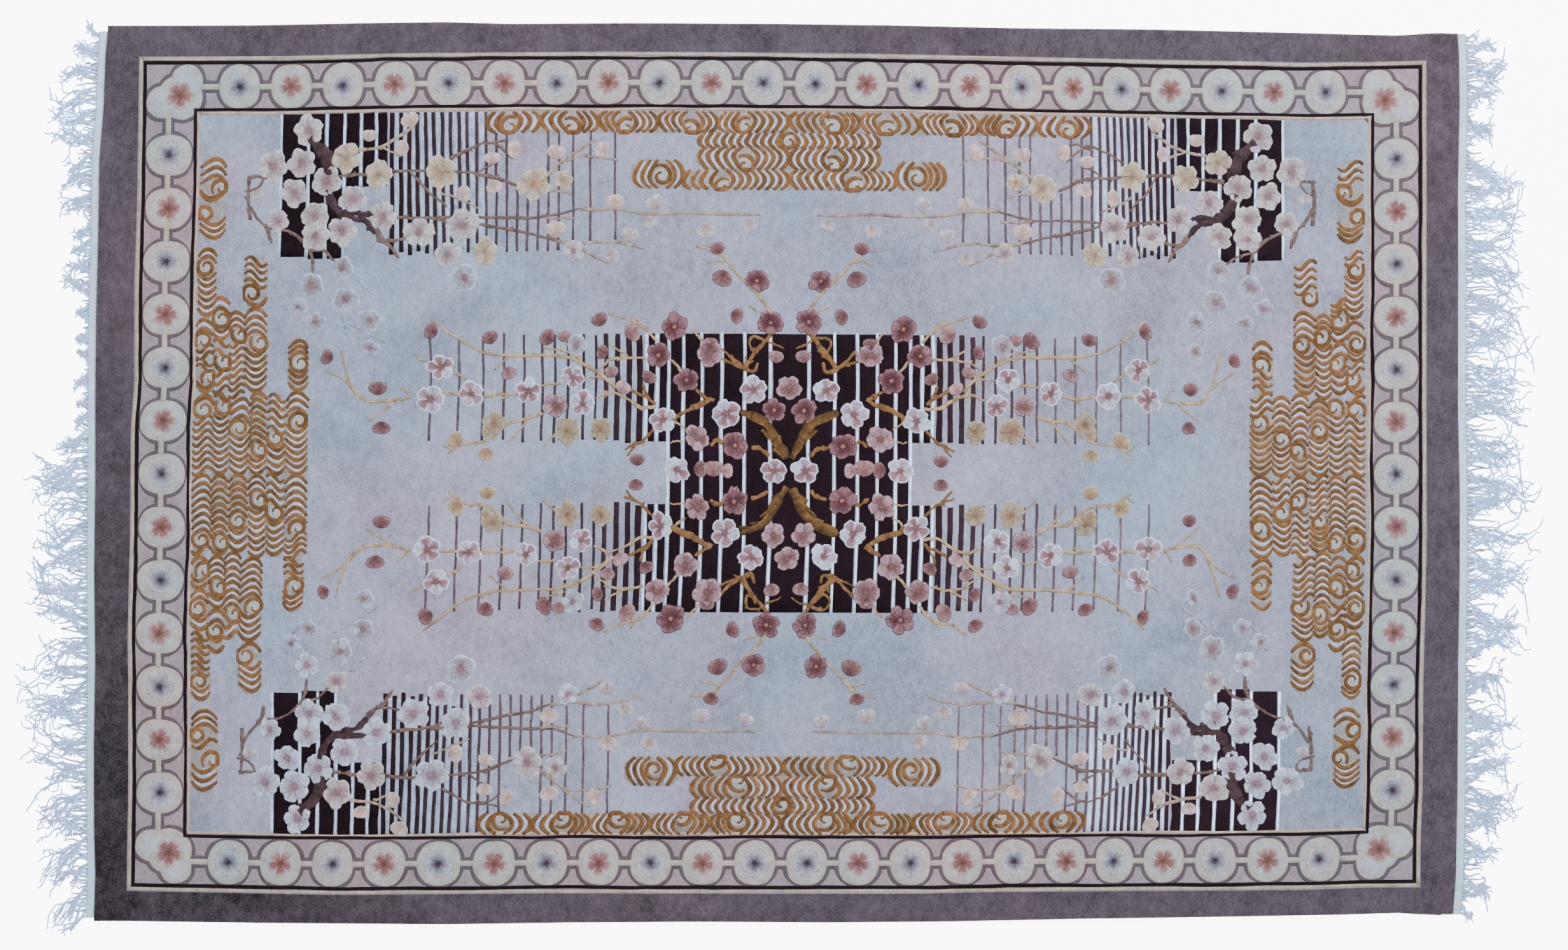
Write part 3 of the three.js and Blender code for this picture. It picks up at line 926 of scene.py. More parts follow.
CORNER_BOUGHS = [
    (PLUM_BARK, 13, 14, [(644, 452), (630, 440), (620, 426), (614, 404)]),
    (PLUM_BARK, 12, 12, [(618, 382), (612, 368), (603, 354), (592, 346)]),
    (PLUM_BARK, 8.5, 6.5, [(596, 348), (578, 351), (555, 348)]),
    (PLUM_BARK, 9.5, 7, [(598, 346), (580, 343), (564, 338), (552, 324)]),
    (TAUPE, 7, 4.5, [(554, 326), (545, 316), (536, 308), (522, 289)]),
    (TAUPE, 5, 4.6, [(541, 312), (522, 314), (504, 318)]),
    (TAUPE, 6, 5, [(526, 344), (500, 343), (478, 341), (456, 334)]),
    (TAUPE, 5.2, 3.2, [(478, 342), (440, 340), (400, 341), (350, 342), (318, 344), (284, 353)]),
    (PALE_TWIG, 3.8, 2.6, [(284, 353), (240, 353), (196, 346), (140, 347), (90, 347), (38, 346)]),
    (TAUPE, 4.6, 3.4, [(424, 336), (390, 328), (350, 319), (314, 311)]),
    (PALE_TWIG, 3.6, 2.6, [(316, 311), (286, 308), (250, 309), (224, 307), (196, 300)]),
    (PALE_TWIG, 3, 2.4, [(292, 306), (270, 292), (244, 279)]),
    (PALE_TWIG, 3, 2.4, [(330, 342), (310, 340), (288, 340)]),
    (TAUPE, 6, 5, [(602, 399), (580, 401), (560, 403)]),
    (TAUPE, 6, 4.4, [(534, 405), (500, 407), (470, 405), (440, 402), (404, 398), (366, 383)]),
    (TAUPE, 4.6, 3.2, [(508, 405), (492, 384), (478, 370), (464, 357)]),
    (TAUPE, 4.4, 3.2, [(458, 422), (430, 437), (404, 442), (376, 423)]),
    (TAUPE, 3.6, 2.6, [(414, 440), (398, 444), (382, 447)]),
    (TAUPE, 3.6, 3, [(424, 403), (410, 412), (396, 417)]),
    (PALE_TWIG, 3.4, 2.6, [(334, 396), (312, 413), (290, 430), (260, 448)]),
    (PALE_TWIG, 3, 2.4, [(310, 415), (286, 424), (254, 424), (232, 418)]),
    (PALE_TWIG, 3, 2.4, [(334, 378), (310, 377), (294, 372)]),
    (PALE_TWIG, 3, 2.4, [(470, 376), (450, 368), (424, 356)]),
    (PALE_TWIG, 4.4, 3.2, [(578, 435), (548, 439), (524, 449), (502, 464)]),
    (PALE_TWIG, 3.4, 2.6, [(546, 438), (534, 433), (520, 427)]),
    (TAUPE, 5.4, 5, [(723, 341), (724, 372), (724, 402)]),
    (TAUPE, 5, 3.6, [(726, 401), (714, 401), (701, 400)]),
    (TAUPE, 3.4, 3, [(704, 400), (709, 390), (720, 383), (730, 382)]),
    (TAUPE, 4.4, 6, [(722, 362), (708, 342), (692, 332), (668, 325), (650, 314), (638, 300)]),
    (TAUPE, 6, 4.6, [(700, 336), (696, 324), (692, 311)]),
    (TAUPE, 6, 4.6, [(640, 302), (636, 290), (635, 273)]),
    (TAUPE, 5, 3.6, [(640, 302), (622, 300), (605, 286)]),
    (FAINT, 2.8, 2.2, [(576, 262), (566, 252), (555, 243)]),
    (FAINT, 2.8, 2.2, [(596, 214), (590, 200), (588, 188)]),
    (FAINT, 2.8, 2.2, [(590, 208), (564, 192), (540, 175)]),
    (FAINT, 2.6, 2.0, [(652, 212), (640, 200), (632, 190)]),
    (FAINT, 2.6, 2.0, [(664, 240), (650, 222), (636, 234)]),
]


def soft_line(points):
    """A smooth line that passes through every point."""
    p = np.asarray(points, float)
    p = np.vstack([2 * p[0] - p[1], p, 2 * p[-1] - p[-2]])
    out = []
    for k in range(1, len(p) - 2):
        t = np.linspace(0, 1, 12, endpoint=False)[:, None]
        a, b, c, d = p[k - 1], p[k], p[k + 1], p[k + 2]
        out.append(0.5 * (2 * b + (c - a) * t + (2 * a - 5 * b + 4 * c - d) * t ** 2
                          + (3 * b - a - 3 * c + d) * t ** 3))
    return np.vstack(out + [p[-2][None]])


def bough(row, su, sv):
    colour, wide, narrow, points = row
    rows = np.asarray(points, float) + random.normal(0, 0.9, (len(points), 2))
    line = soft_line(rows) * (su, sv)
    line[:, 1] += wander(len(line), 1.2)
    length = np.hypot(*np.diff(line, axis=0).T).sum()
    steps = 24 if length > 60 else 12
    fuller = 1.55 if colour is PALE_TWIG or colour is FAINT else 1.16
    half = np.linspace(wide, narrow, 25) / 2 * (fuller + wander(25, 0.42))
    half[-1] *= 0.6
    other = None
    if colour is OCHRE or colour is PLUM_BARK:
        dark = BARK if colour is OCHRE else darker(PLUM_BARK, 0.7)
        colour, other = (dark, colour) if su * sv > 0 else (colour, dark)
    height = 1.15 if wide > 7 else 0.9
    # The feet are a darker copy of the bough, painted shade of the carved groove: less dark for pale twigs,
    # and a darker silver for the faint ones.
    depth = 0.85 if row[0] is FAINT else 0.7 if row[0] is PALE_TWIG else 0.5
    edge = darker(SILVER if row[0] is FAINT else colour, depth)
    made = [along(line, half, height, colour, edge, other, steps=steps, shoulder=1.6, grain=0.17)]
    if wide > 3.3 and length > 34:
        for share in random.uniform(0.1, 0.9, int(length / 45) + 1):
            at = int(share * (len(line) - 2))
            run = line[at + 1] - line[at]
            turn = math.atan2(run[1], run[0]) + random.choice([-1, 1]) * random.uniform(0.45, 0.8)
            reach = random.uniform(0.8, 1.5) * wide
            tip = line[at] + reach * np.array([math.cos(turn), math.sin(turn)])
            spur = [line[at], (line[at] + tip) / 2, tip]
            made.append(along(spur, half.mean() * np.array([0.9, 0.7, 0.4]), height * 0.95, colour, edge,
                              steps=4, shoulder=1.3, grain=0.15))
    return made


def boughs(su, sv):
    made = []
    for row in CENTRE_BOUGHS + CORNER_BOUGHS:
        made += bough(row, su, sv)
    return made


join("boughs", mirrored(boughs))

# %% [markdown]
# ## Blossoms and buds
# Each blossom is five soft petals round a small boss, in one of a few dye families. A coin of pile is
# pressed to the outline of the petals, and its rings carry the dyes from the rim to the boss. Its
# foot is darker, painted shade of the carved groove round it. The seams between the petals are cut
# a little lower, as the shears leave them. Fine radial streaks of dye come from the material, which
# reads each point's direction from an attribute.

# %% Blossom dyes
PETALS = 5
petal_coin = coin_template(35, 6)
flat_coin = coin_template(45, 6)
bud_coin = coin_template(14, 4)

# rim, body and core are a blossom's dyes from its edge inwards; dot is its boss; seam parts the
# petals; halo is a pale ring round it, partly a pale knotted outline and partly a painted highlight
# along its carved edge
BLOSSOMS = {
    "rose": {"rim": dye(164, 134, 142), "body": dye(134, 94, 102), "core": dye(98, 54, 62),
             "dot": dye(176, 142, 118), "seam": dye(100, 62, 70), "halo": None},
    "dusty": {"rim": dye(184, 170, 176), "body": dye(160, 128, 134), "core": dye(128, 90, 97),
              "dot": dye(150, 116, 100), "seam": dye(136, 102, 108), "halo": None},
    "pink": {"rim": dye(196, 201, 209), "body": dye(174, 146, 156), "core": dye(140, 98, 108),
             "dot": dye(146, 120, 104), "seam": dye(196, 202, 210), "halo": dye(196, 205, 213)},
    "cream": {"rim": dye(190, 191, 193), "body": dye(186, 182, 186), "core": dye(156, 130, 141),
              "dot": dye(158, 134, 140), "seam": dye(162, 154, 160), "halo": dye(188, 194, 200)},
    "white": {"rim": dye(190, 197, 205), "body": dye(186, 189, 198), "core": dye(156, 132, 145),
              "dot": dye(164, 146, 152), "seam": dye(164, 164, 175), "halo": dye(186, 195, 205)},
    "yellow": {"rim": dye(191, 189, 184), "body": dye(187, 180, 168), "core": dye(172, 156, 140),
               "dot": dye(160, 142, 126), "seam": dye(160, 150, 138), "halo": dye(188, 192, 193)},
    "olive": {"rim": dye(178, 175, 164), "body": dye(174, 165, 150), "core": dye(158, 134, 110),
              "dot": dye(146, 118, 96), "seam": dye(152, 140, 122), "halo": dye(182, 185, 184)},
    "faint": {"rim": dye(182, 189, 199), "body": dye(174, 174, 181), "core": dye(150, 122, 131),
              "dot": dye(154, 134, 142), "seam": dye(158, 160, 170), "halo": dye(198, 206, 214)},
    "border_rose": {"rim": dye(180, 160, 162), "body": dye(168, 134, 138), "core": dye(148, 108, 108),
                    "dot": dye(128, 90, 72), "seam": dye(188, 182, 176), "halo": None},
    "border_blue": {"rim": dye(184, 187, 190), "body": dye(174, 177, 188), "core": dye(136, 131, 146),
                    "dot": dye(72, 60, 78), "seam": dye(168, 168, 172), "halo": None},
}


def petal_outline(radius, turn, squash, tilt, lobes, depth, notch):
    """The outline of five round petals, seen a little from the side."""
    frayed = random.normal(0, 0.03, 64)

    def outline(angle):
        place = (angle - turn) % (2 * math.pi) / (2 * math.pi / PETALS)
        lobe = np.asarray(lobes)[np.floor(place).astype(int) % PETALS]
        phi = (place % 1 - 0.5) * 2 * math.pi / PETALS
        reach = depth * np.cos(phi) + np.sqrt(np.maximum((1 - depth) ** 2 - (depth * np.sin(phi)) ** 2, 0))
        reach = reach - notch * np.exp(-(phi / 0.13) ** 2) + frayed[(np.abs(angle) * 9).astype(int) % 64]
        leaning = 1 - squash * np.cos(angle - tilt) ** 2
        return radius * reach * (1 + (lobe - 1) * np.cos(phi * 2.5)) * leaning
    return outline


def blossom(centre, radius, kind, turn=None, height=1.15, flat=False):
    """A blossom of the field, or a flat one with an incised outline on a roundel."""
    dyes = BLOSSOMS[kind]
    turn = random.uniform(0, 2 * math.pi) if turn is None else turn
    lobes = random.uniform(0.9, 1.08, PETALS) if not flat else random.uniform(0.96, 1.04, PETALS)
    squash = random.uniform(0, 0.14) if not flat else 0.0
    outline = petal_outline(radius, turn, squash, random.uniform(0, 6.28), lobes,
                            0.57 if flat else random.uniform(0.5, 0.58), 0.06 if flat else 0.04)
    coin = flat_coin if flat else petal_coin
    ring, angle = coin["ring"], coin["angle"]
    rim, body, core = (np.asarray(dyes[k]) for k in ("rim", "body", "core"))
    reach = random.uniform(0.36, 0.5)
    if flat:
        shares = (1.24, 1.19, 1.13, 1.0, 0.88, 0.34, 0.14)
        levels = (0.5, 0.66, 0.66, 1.0, 0.92, 0.8, 0.95)
        # The incised outline is a darker cream, painted shade in its groove, and it sits a little lower too.
        line = darker(ROUNDEL_CREAM, 0.62)
        tones = (line, line, ROUNDEL_CREAM, mix(rim, ROUNDEL_CREAM, 0.4), body, core, dyes["dot"])
    elif dyes["halo"] is None:
        shares = (1, 1, 0.92, 0.72, reach, 0.2, 0.07)
        levels = np.array((-0.5, 0.4, 0.95, 1, 0.9, 0.8, 1)) * height
        # The two outer rings are dark, painted shade of the carved groove round the blossom.
        tones = (darker(core, 0.5), darker(dyes["seam"], 0.8), rim, body, mix(body, core, 0.75), core,
                 dyes["dot"])
    else:
        shares = (1.1, 1.07, 0.99, 0.87, reach, 0.2, 0.08)
        levels = np.array((-0.4, 0.2, 0.95, 1, 0.9, 0.8, 1)) * height
        # The halo is darkened towards its foot, painted shade of the carved groove.
        tones = (darker(dyes["halo"], 0.62), darker(dyes["halo"], 0.9), rim, body, mix(body, core, 0.6), core,
                 dyes["dot"])
    made = pressed(coin, centre, outline, shares, levels, tones, 0.07)
    place = (angle - turn) % (2 * math.pi) / (2 * math.pi / PETALS)
    petal = np.floor(place + 1e-6).astype(int) % PETALS
    paler = np.clip(random.normal(0.12, 0.4, PETALS), 0, 0.8)[petal][:, None]
    paler = paler * np.isin(ring, (3, 4))[:, None]
    made["dye"] = made["dye"] * (1 - paler) + rim * paler
    edge = np.minimum(place % 1, 1 - place % 1)
    cut = np.clip(1 - edge / (0.1 if flat else 0.16), 0, 1) * np.isin(ring, (2, 3, 4))
    cut = cut * np.where(ring == 4, 0.9, 1.0) if flat else cut
    made["level"] = made["level"] - 0.42 * cut
    seam = 0.85 * cut[:, None]
    made["dye"] = made["dye"] * (1 - seam) + np.asarray(dyes["seam"]) * seam
    if kind == "border_blue":
        tilt = random.uniform(0, 6.28)
        dark = (ring == 5) * np.clip(np.cos(angle - tilt) * 1.4, 0, 1) * 0.5
        made["dye"] = made["dye"] * (1 - dark[:, None]) + np.asarray(dyes["dot"]) * dark[:, None]
    spoke = np.stack([np.cos(angle), np.sin(angle)], axis=1) * 10
    twist = random.uniform(0, 60) + 0.6 * ring
    made["nap"] = np.concatenate([spoke + random.uniform(0, 90), twist[:, None]], axis=1)
    made["streak"] = np.where(ring >= 2, 1.0 if flat else 2.6 if dyes["halo"] is None else 1.9, 0.0)
    return made


# %% Buds
BUD_DYES = {"rose": dye(138, 98, 104), "dusty": dye(160, 130, 135), "olive": dye(174, 160, 136),
            "cream": dye(190, 180, 178), "white": dye(186, 192, 200), "pink": dye(178, 156, 162),
            "faint": dye(182, 176, 180)}


def bud(centre, radius, kind, turn):
    """A closed bud, fuller at its tip and darker where its stalk holds it."""
    def outline(angle):
        a = angle - turn
        return radius * (1 + 0.18 * np.cos(a) - 0.12 * np.cos(2 * a) - 0.07 * np.cos(3 * a))
    body = BUD_DYES[kind]
    pale = kind in ("cream", "white", "olive", "faint")
    # A pale bud gets a pale skirt like a blossom's halo, partly pale outline and partly painted highlight; a
    # dark bud gets a darker skirt, painted groove shade. The foot ring is darker still, painted shade of the
    # groove.
    skirt = dye(184, 192, 201) if pale else darker(body, 0.85)
    shares = (1.12, 1.08, 0.98, 0.66, 0.25) if pale else (1, 1, 0.92, 0.6, 0.2)
    tones = (darker(skirt, 0.6), skirt, mix(body, (0.5, 0.5, 0.5), 0.12), body, darker(body, 0.8))
    made = pressed(bud_coin, centre, outline, shares, (-0.5, 0.3, 0.95, 1.15, 1.1), tones, 0.05)
    facing, upper = np.cos(bud_coin["angle"] - turn), bud_coin["ring"] >= 2
    fold = np.clip(facing - 0.86, 0, 0.14) * 4 * upper
    made["level"] = made["level"] - 0.6 * fold
    made["dye"] = made["dye"] * (1 + 0.35 * np.clip(facing, 0, 1) * upper - 0.7 * fold)[:, None]
    stalk = np.clip(-facing - 0.45, 0, 0.55) * 1.4 * upper
    core = darker(body, 0.55 if not pale else 0.72) * (1.1, 0.9, 0.92)
    made["dye"] = made["dye"] * (1 - stalk[:, None]) + core * stalk[:, None]
    spoke = np.stack([np.cos(bud_coin["angle"]), np.sin(bud_coin["angle"])], axis=1) * 4.0
    made["nap"] = np.concatenate([spoke + random.uniform(0, 90), bud_coin["ring"][:, None] * 0.6], axis=1)
    made["streak"] = np.full(len(stalk), 1.1 if pale else 1.8)
    return made


# %% [markdown]
# The blossoms follow the boughs in the same chart of one quarter. Motifs on an axis of the rug stand
# once on each side of it, so they are not mirrored across it.

# %% Charts of blossoms and buds
# A blossom: place along and across in one quarter, radius, dye family, and its family below the middle
CENTRE_BLOSSOMS = [
    (20, 2, 18.5, "pink", "pink"), (73, 37, 20.5, "rose", "rose"), (20, 84, 18.5, "rose", "dusty"),
    (87, 80, 20, "pink", "pink"), (49, 112, 18.5, "pink", "pink"), (109, 160, 20.5, "dusty", "dusty"),
    (139, 124, 19.5, "rose", "dusty"), (124, 46, 19.5, "dusty", "dusty"), (156, 195, 20, "rose", "rose"),
    (178, 158, 18.5, "rose", "dusty"), (172, 72, 19, "pink", "pink"), (152, 4, 18, "pink", "pink"),
    (0, 114, 19, "dusty", "dusty"), (26, 203, 19, "rose", "rose"), (43, 258, 17.5, "rose", "rose"),
    (296, 127, 17.5, "pink", "pink"), (281, 91, 17.5, "pink", "pink"), (318, 91, 17, "dusty", "dusty"),
    (254, 57, 16.5, "olive", "olive"), (300, 56, 18.5, "olive", "olive"), (290, 172, 15.5, "faint", "faint"),
    (354, 109, 17, "pink", "pink"), (432, 106, 18.5, "pink", "pink"), (474, 143, 17.5, "pink", "pink"),
    (488, 101, 19, "pink", "pink"), (401, 67, 16, "olive", "olive"),
]
CORNER_BLOSSOMS = [
    (646, 462, 19.5, "cream", "white"), (653, 418, 19.5, "cream", "white"),
    (692, 413, 19.5, "cream", "white"), (662, 380, 18.5, "cream", "white"),
    (620, 393, 19.5, "cream", "white"), (594, 425, 19.5, "yellow", "cream"),
    (548, 402, 19, "yellow", "cream"), (582, 370, 18.5, "cream", "white"), (541, 346, 19, "cream", "white"),
    (497, 323, 19, "cream", "white"), (444, 333, 20.5, "cream", "white"), (470, 403, 20, "yellow", "white"),
    (634, 348, 19, "cream", "white"), (634, 321, 19, "cream", "white"), (596, 326, 19, "cream", "white"),
    (686, 343, 15.5, "cream", "white"), (462, 294, 17, "cream", "white"), (414, 298, 17, "yellow", "cream"),
    (439, 262, 18, "faint", "faint"), (595, 278, 15, "faint", "cream"), (636, 255, 16, "faint", "white"),
    (590, 236, 17, "faint", "faint"), (655, 226, 12.5, "faint", "faint"), (631, 206, 12, "faint", "faint"),
    (561, 208, 14, "faint", "faint"), (560, 168, 11, "faint", "faint"), (347, 387, 20.5, "yellow", "cream"),
    (308, 393, 14, "yellow", "cream"), (294, 296, 13.5, "cream", "white"),
]
# A bud: place, radius, dye family and the way its tip points, in degrees
CENTRE_BUDS = [
    (84, 4, 9.5, "pink", 180), (102, 5, 13.5, "dusty", 90), (123, 6, 10.5, "rose", 180),
    (20, 154, 10.5, "dusty", 100), (108, 173, 10, "rose", 90), (206, 15, 9.5, "rose", 90),
    (216, 186, 12.5, "dusty", 150), (256, 203, 10.5, "rose", 60), (242, 134, 9.5, "dusty", 80),
    (227, 114, 10.5, "pink", 120), (192, 126, 10, "rose", 120), (254, 162, 9.5, "rose", 20),
    (307, 180, 9, "dusty", 90), (327, 179, 11.5, "rose", 40), (382, 134, 10.5, "dusty", 250),
    (405, 180, 10.5, "rose", 70), (484, 192, 10.5, "rose", 20), (409, 27, 10, "olive", 270),
    (450, 45, 11, "olive", 45), (614, 157, 9.5, "rose", 20), (551, 115, 10.5, "rose", 90),
    (547, 64, 10, "rose", 270), (90, 262, 13, "rose", 290), (98, 301, 10, "rose", 80),
    (73, 210, 10.5, "rose", 200), (409, 56, 8, "olive", 0),
]
CORNER_BUDS = [
    (562, 452, 9.5, "cream", 90), (508, 473, 11, "cream", 60), (517, 436, 9.5, "cream", 10),
    (714, 377, 8, "faint", 270), (444, 374, 10.5, "cream", 180), (405, 421, 9.5, "cream", 90),
    (402, 384, 10, "cream", 250), (372, 434, 10.5, "cream", 0), (316, 428, 11, "cream", 100),
    (252, 432, 10.5, "cream", 30), (238, 361, 11, "cream", 90), (182, 360, 10.5, "faint", 60),
    (192, 335, 9, "faint", 240), (216, 318, 10.5, "faint", 100), (318, 325, 12, "cream", 90),
    (113, 327, 11, "faint", 270), (53, 333, 9.5, "faint", 250), (240, 290, 9.5, "faint", 270),
]
AXIS = 8
CORNER_FULLER = 1.05
BUD_SLIMMER = 0.93


def sown(place, radius, make):
    """One motif in every quarter, or once on each side of an axis that it stands on."""
    made = []
    for su in (-1, 1):
        for sv in (-1, 1):
            if (place[1] < AXIS and sv < 0 and place[1] != 0) or (place[0] < AXIS and su < 0):
                continue
            centre = np.array(place) * (su, sv) + random.uniform(-1.5, 1.5, 2)
            made.append(make(centre, radius * random.uniform(0.97, 1.05), su, sv))
    return made


def field_blossoms(chart, fuller=1.0):
    made = []
    for u, v, radius, above, below in chart:
        made += sown((u, v), fuller * radius,
                     lambda centre, r, su, sv: blossom(centre, r, above if sv > 0 else below))
    return made


def field_buds(chart):
    made = []
    for u, v, radius, kind, degrees in chart:
        angle = math.radians(degrees)
        made += sown((u, v), BUD_SLIMMER * radius, lambda centre, r, su, sv: bud(
            centre, r, kind, math.atan2(sv * math.sin(angle), su * math.cos(angle))))
    return made


join("centre_blossoms", field_blossoms(CENTRE_BLOSSOMS))
join("corner_blossoms", field_blossoms(CORNER_BLOSSOMS, CORNER_FULLER))
join("buds", field_buds(CENTRE_BUDS) + field_buds(CORNER_BUDS))

# %% Blossoms of the roundels
# On the long sides blue (B) and rose (R) take turns, with two blues at the middle
LONG_TURNS = "BRBRBRBRBRBBRBRBRBRBRB"
ROSE_RADIUS = 15.5
BLUE_RADIUS = 17
CORNER_RADIUS = 17


def border_flower(place, rose, turn):
    radius = ROSE_RADIUS if rose else BLUE_RADIUS
    return blossom(place, radius, "border_rose" if rose else "border_blue", turn, 1.0, True)


def corner_flower(su, sv):
    centre = (su * (HALF_U - 56.5), sv * (HALF_V - 52.5))
    return [blossom(centre, CORNER_RADIUS, "border_rose", 0.4, 1.0, True)]


border_flowers = [border_flower(place, LONG_TURNS[k % LONG_COUNT] == "R", math.pi / 2)
                  for k, place in enumerate(long_places)]
border_flowers += [border_flower(place, k % SHORT_COUNT % 2, 0.0 if place[0] > 0 else math.pi)
                   for k, place in enumerate(short_places)]
join("roundel_blossoms", border_flowers + mirrored(corner_flower))

# %% [markdown]
# ## Side cords
# Each long edge is overcast with dark wool round two warps, which makes a cord. It is a tube swept
# along the edge, and its wraps are narrow swellings of the tube's radius.

# %% Overcast cords
CORD_RADIUS = 1.55
CORD_INSET = 0.6
CORD_ENDS = 14.0
WRAP_PITCH = 2.4
WRAP = (0.9, 1.0, 1.0)


def tube_piece(name, runs, radius, roundness=0):
    """Cords as one mesh: each run is its points in millimetres with a thickness share for each."""
    curve = bpy.data.curves.new(name, "CURVE")
    curve.dimensions = "3D"
    curve.bevel_depth = radius * MM
    curve.bevel_resolution = roundness
    curve.use_fill_caps = True
    for points, thickness in runs:
        spline = curve.splines.new("POLY")
        spline.points.add(len(points) - 1)
        place = np.concatenate([points, np.full((len(points), 1), 1 / MM)], axis=1) * MM
        spline.points.foreach_set("co", place.ravel())
        spline.points.foreach_set("radius", thickness)
    holder = add_object(name, curve)
    bpy.context.view_layer.update()
    mesh = bpy.data.meshes.new_from_object(holder)
    mesh.name = name
    bpy.data.objects.remove(holder)
    mesh.shade_smooth()
    print(name, len(runs), "runs,", len(mesh.polygons), "faces")
    return add_object(name, mesh)


def overcast_cord(name, edge, outward):
    xs = np.arange(max(edge[0][0], -928) + CORD_ENDS, edge[-1][0] - CORD_ENDS, WRAP_PITCH / len(WRAP))
    ys = read(edge, xs) - outward * CORD_INSET
    points = np.stack([xs, ys, np.full(len(xs), CORD_RADIUS + 0.05)], axis=1)
    return tube_piece(name, [(points, np.resize(WRAP, len(xs)))], CORD_RADIUS, 1)


side_cords = [overcast_cord("side_cord_top", TOP_EDGE, 1),
              overcast_cord("side_cord_bottom", BOTTOM_EDGE, -1)]

# %% [markdown]
# ## The webs and the fringe
# At each end the weaver beats a narrow flat-woven web, and the cotton warps run on as fringe. The web
# is a fine grid whose rows rise and fall as ribs. The fringe is yarn: each cord leaves the web
# straight, then tangles with its neighbours into forked locks. Curves with a round bevel are the
# natural way to make yarn, and they are turned to mesh at the end.

# %% Fringe tables
LEFT_FRINGE = [(605, 22, 6), (540, 60, 0), (470, 80, -4), (420, 34, -10), (385, 58, -14), (345, 20, -8),
               (262, 48, 6), (215, 18, 0), (70, 20, 0), (25, 88, -10), (-50, 74, 6), (-150, 86, 8),
               (-290, 97, 8), (-345, 92, 0), (-430, 84, -8), (-500, 78, -14), (-560, 58, -26),
               (-608, 46, -36)]
RIGHT_FRINGE = [(600, 16, -4), (560, 70, 4), (500, 32, -6), (440, 54, -10), (375, 84, -6), (290, 96, 0),
                (215, 92, 6), (140, 100, 0), (20, 94, -6), (-90, 96, 6), (-150, 76, 0), (-205, 96, -4),
                (-262, 44, -8), (-320, 86, 0), (-380, 58, 6), (-430, 80, 0), (-500, 50, -6), (-545, 68, -10),
                (-600, 16, -4)]
WEB_WIDTH = 13.5
WEB_TOP = 2.6
RIB_PITCH = 2.54
GAP = 0.3


# %% Webs
def web(name, edge, outward):
    low, high = edge[-1][1], edge[0][1]
    ribs = int((high - low) / RIB_PITCH)
    bm = bmesh.new()
    bmesh.ops.create_grid(bm, x_segments=4, y_segments=ribs * 3, size=1.0)
    made = bmesh.ops.extrude_face_region(bm, geom=list(bm.faces))["geom"]
    for vert in [g for g in made if isinstance(g, bmesh.types.BMVert)]:
        vert.co.z = -1.0
    bmesh.ops.recalc_face_normals(bm, faces=bm.faces)
    mesh = bpy.data.meshes.new(name)
    bm.to_mesh(mesh)
    bm.free()
    a, b, c = coordinates(mesh).T
    y = low + (b + 1) / 2 * (high - low)
    share = (a + 1) / 2
    x = read(edge, y, 0, 1) + outward * (GAP + share * (WEB_WIDTH - GAP))
    rib = 0.22 * np.cos((y - low) / RIB_PITCH * 2 * math.pi)
    rim = 1 - 0.35 * (np.abs(a) > 0.99)
    z = np.where(c > -0.5, (WEB_TOP + rib) * rim, 0.0)
    mesh.vertices.foreach_set("co", (np.stack([x, y, z], axis=1) * MM).ravel())
    mesh.update()
    mesh.shade_smooth()
    print(name, len(mesh.polygons), "faces")
    return add_object(name, mesh)


webs = [web("web_left", LEFT_EDGE, -1), web("web_right", RIGHT_EDGE, 1)]

# %% Fringe yarn
CORD_PITCH = 6.0
YARN_RADIUS = 1.12
# No yarn strays further than this below the rug's lower corner
STRAY_BELOW = 28.0
YARNS = 3
POINTS = 20


def swerving(spread):
    """Headings of a yarn that keeps being pushed aside and comes back, in radians."""
    heading = np.zeros(POINTS)
    for k in range(1, POINTS):
        heading[k] = 0.72 * heading[k - 1] + random.normal(0, spread)
    return heading


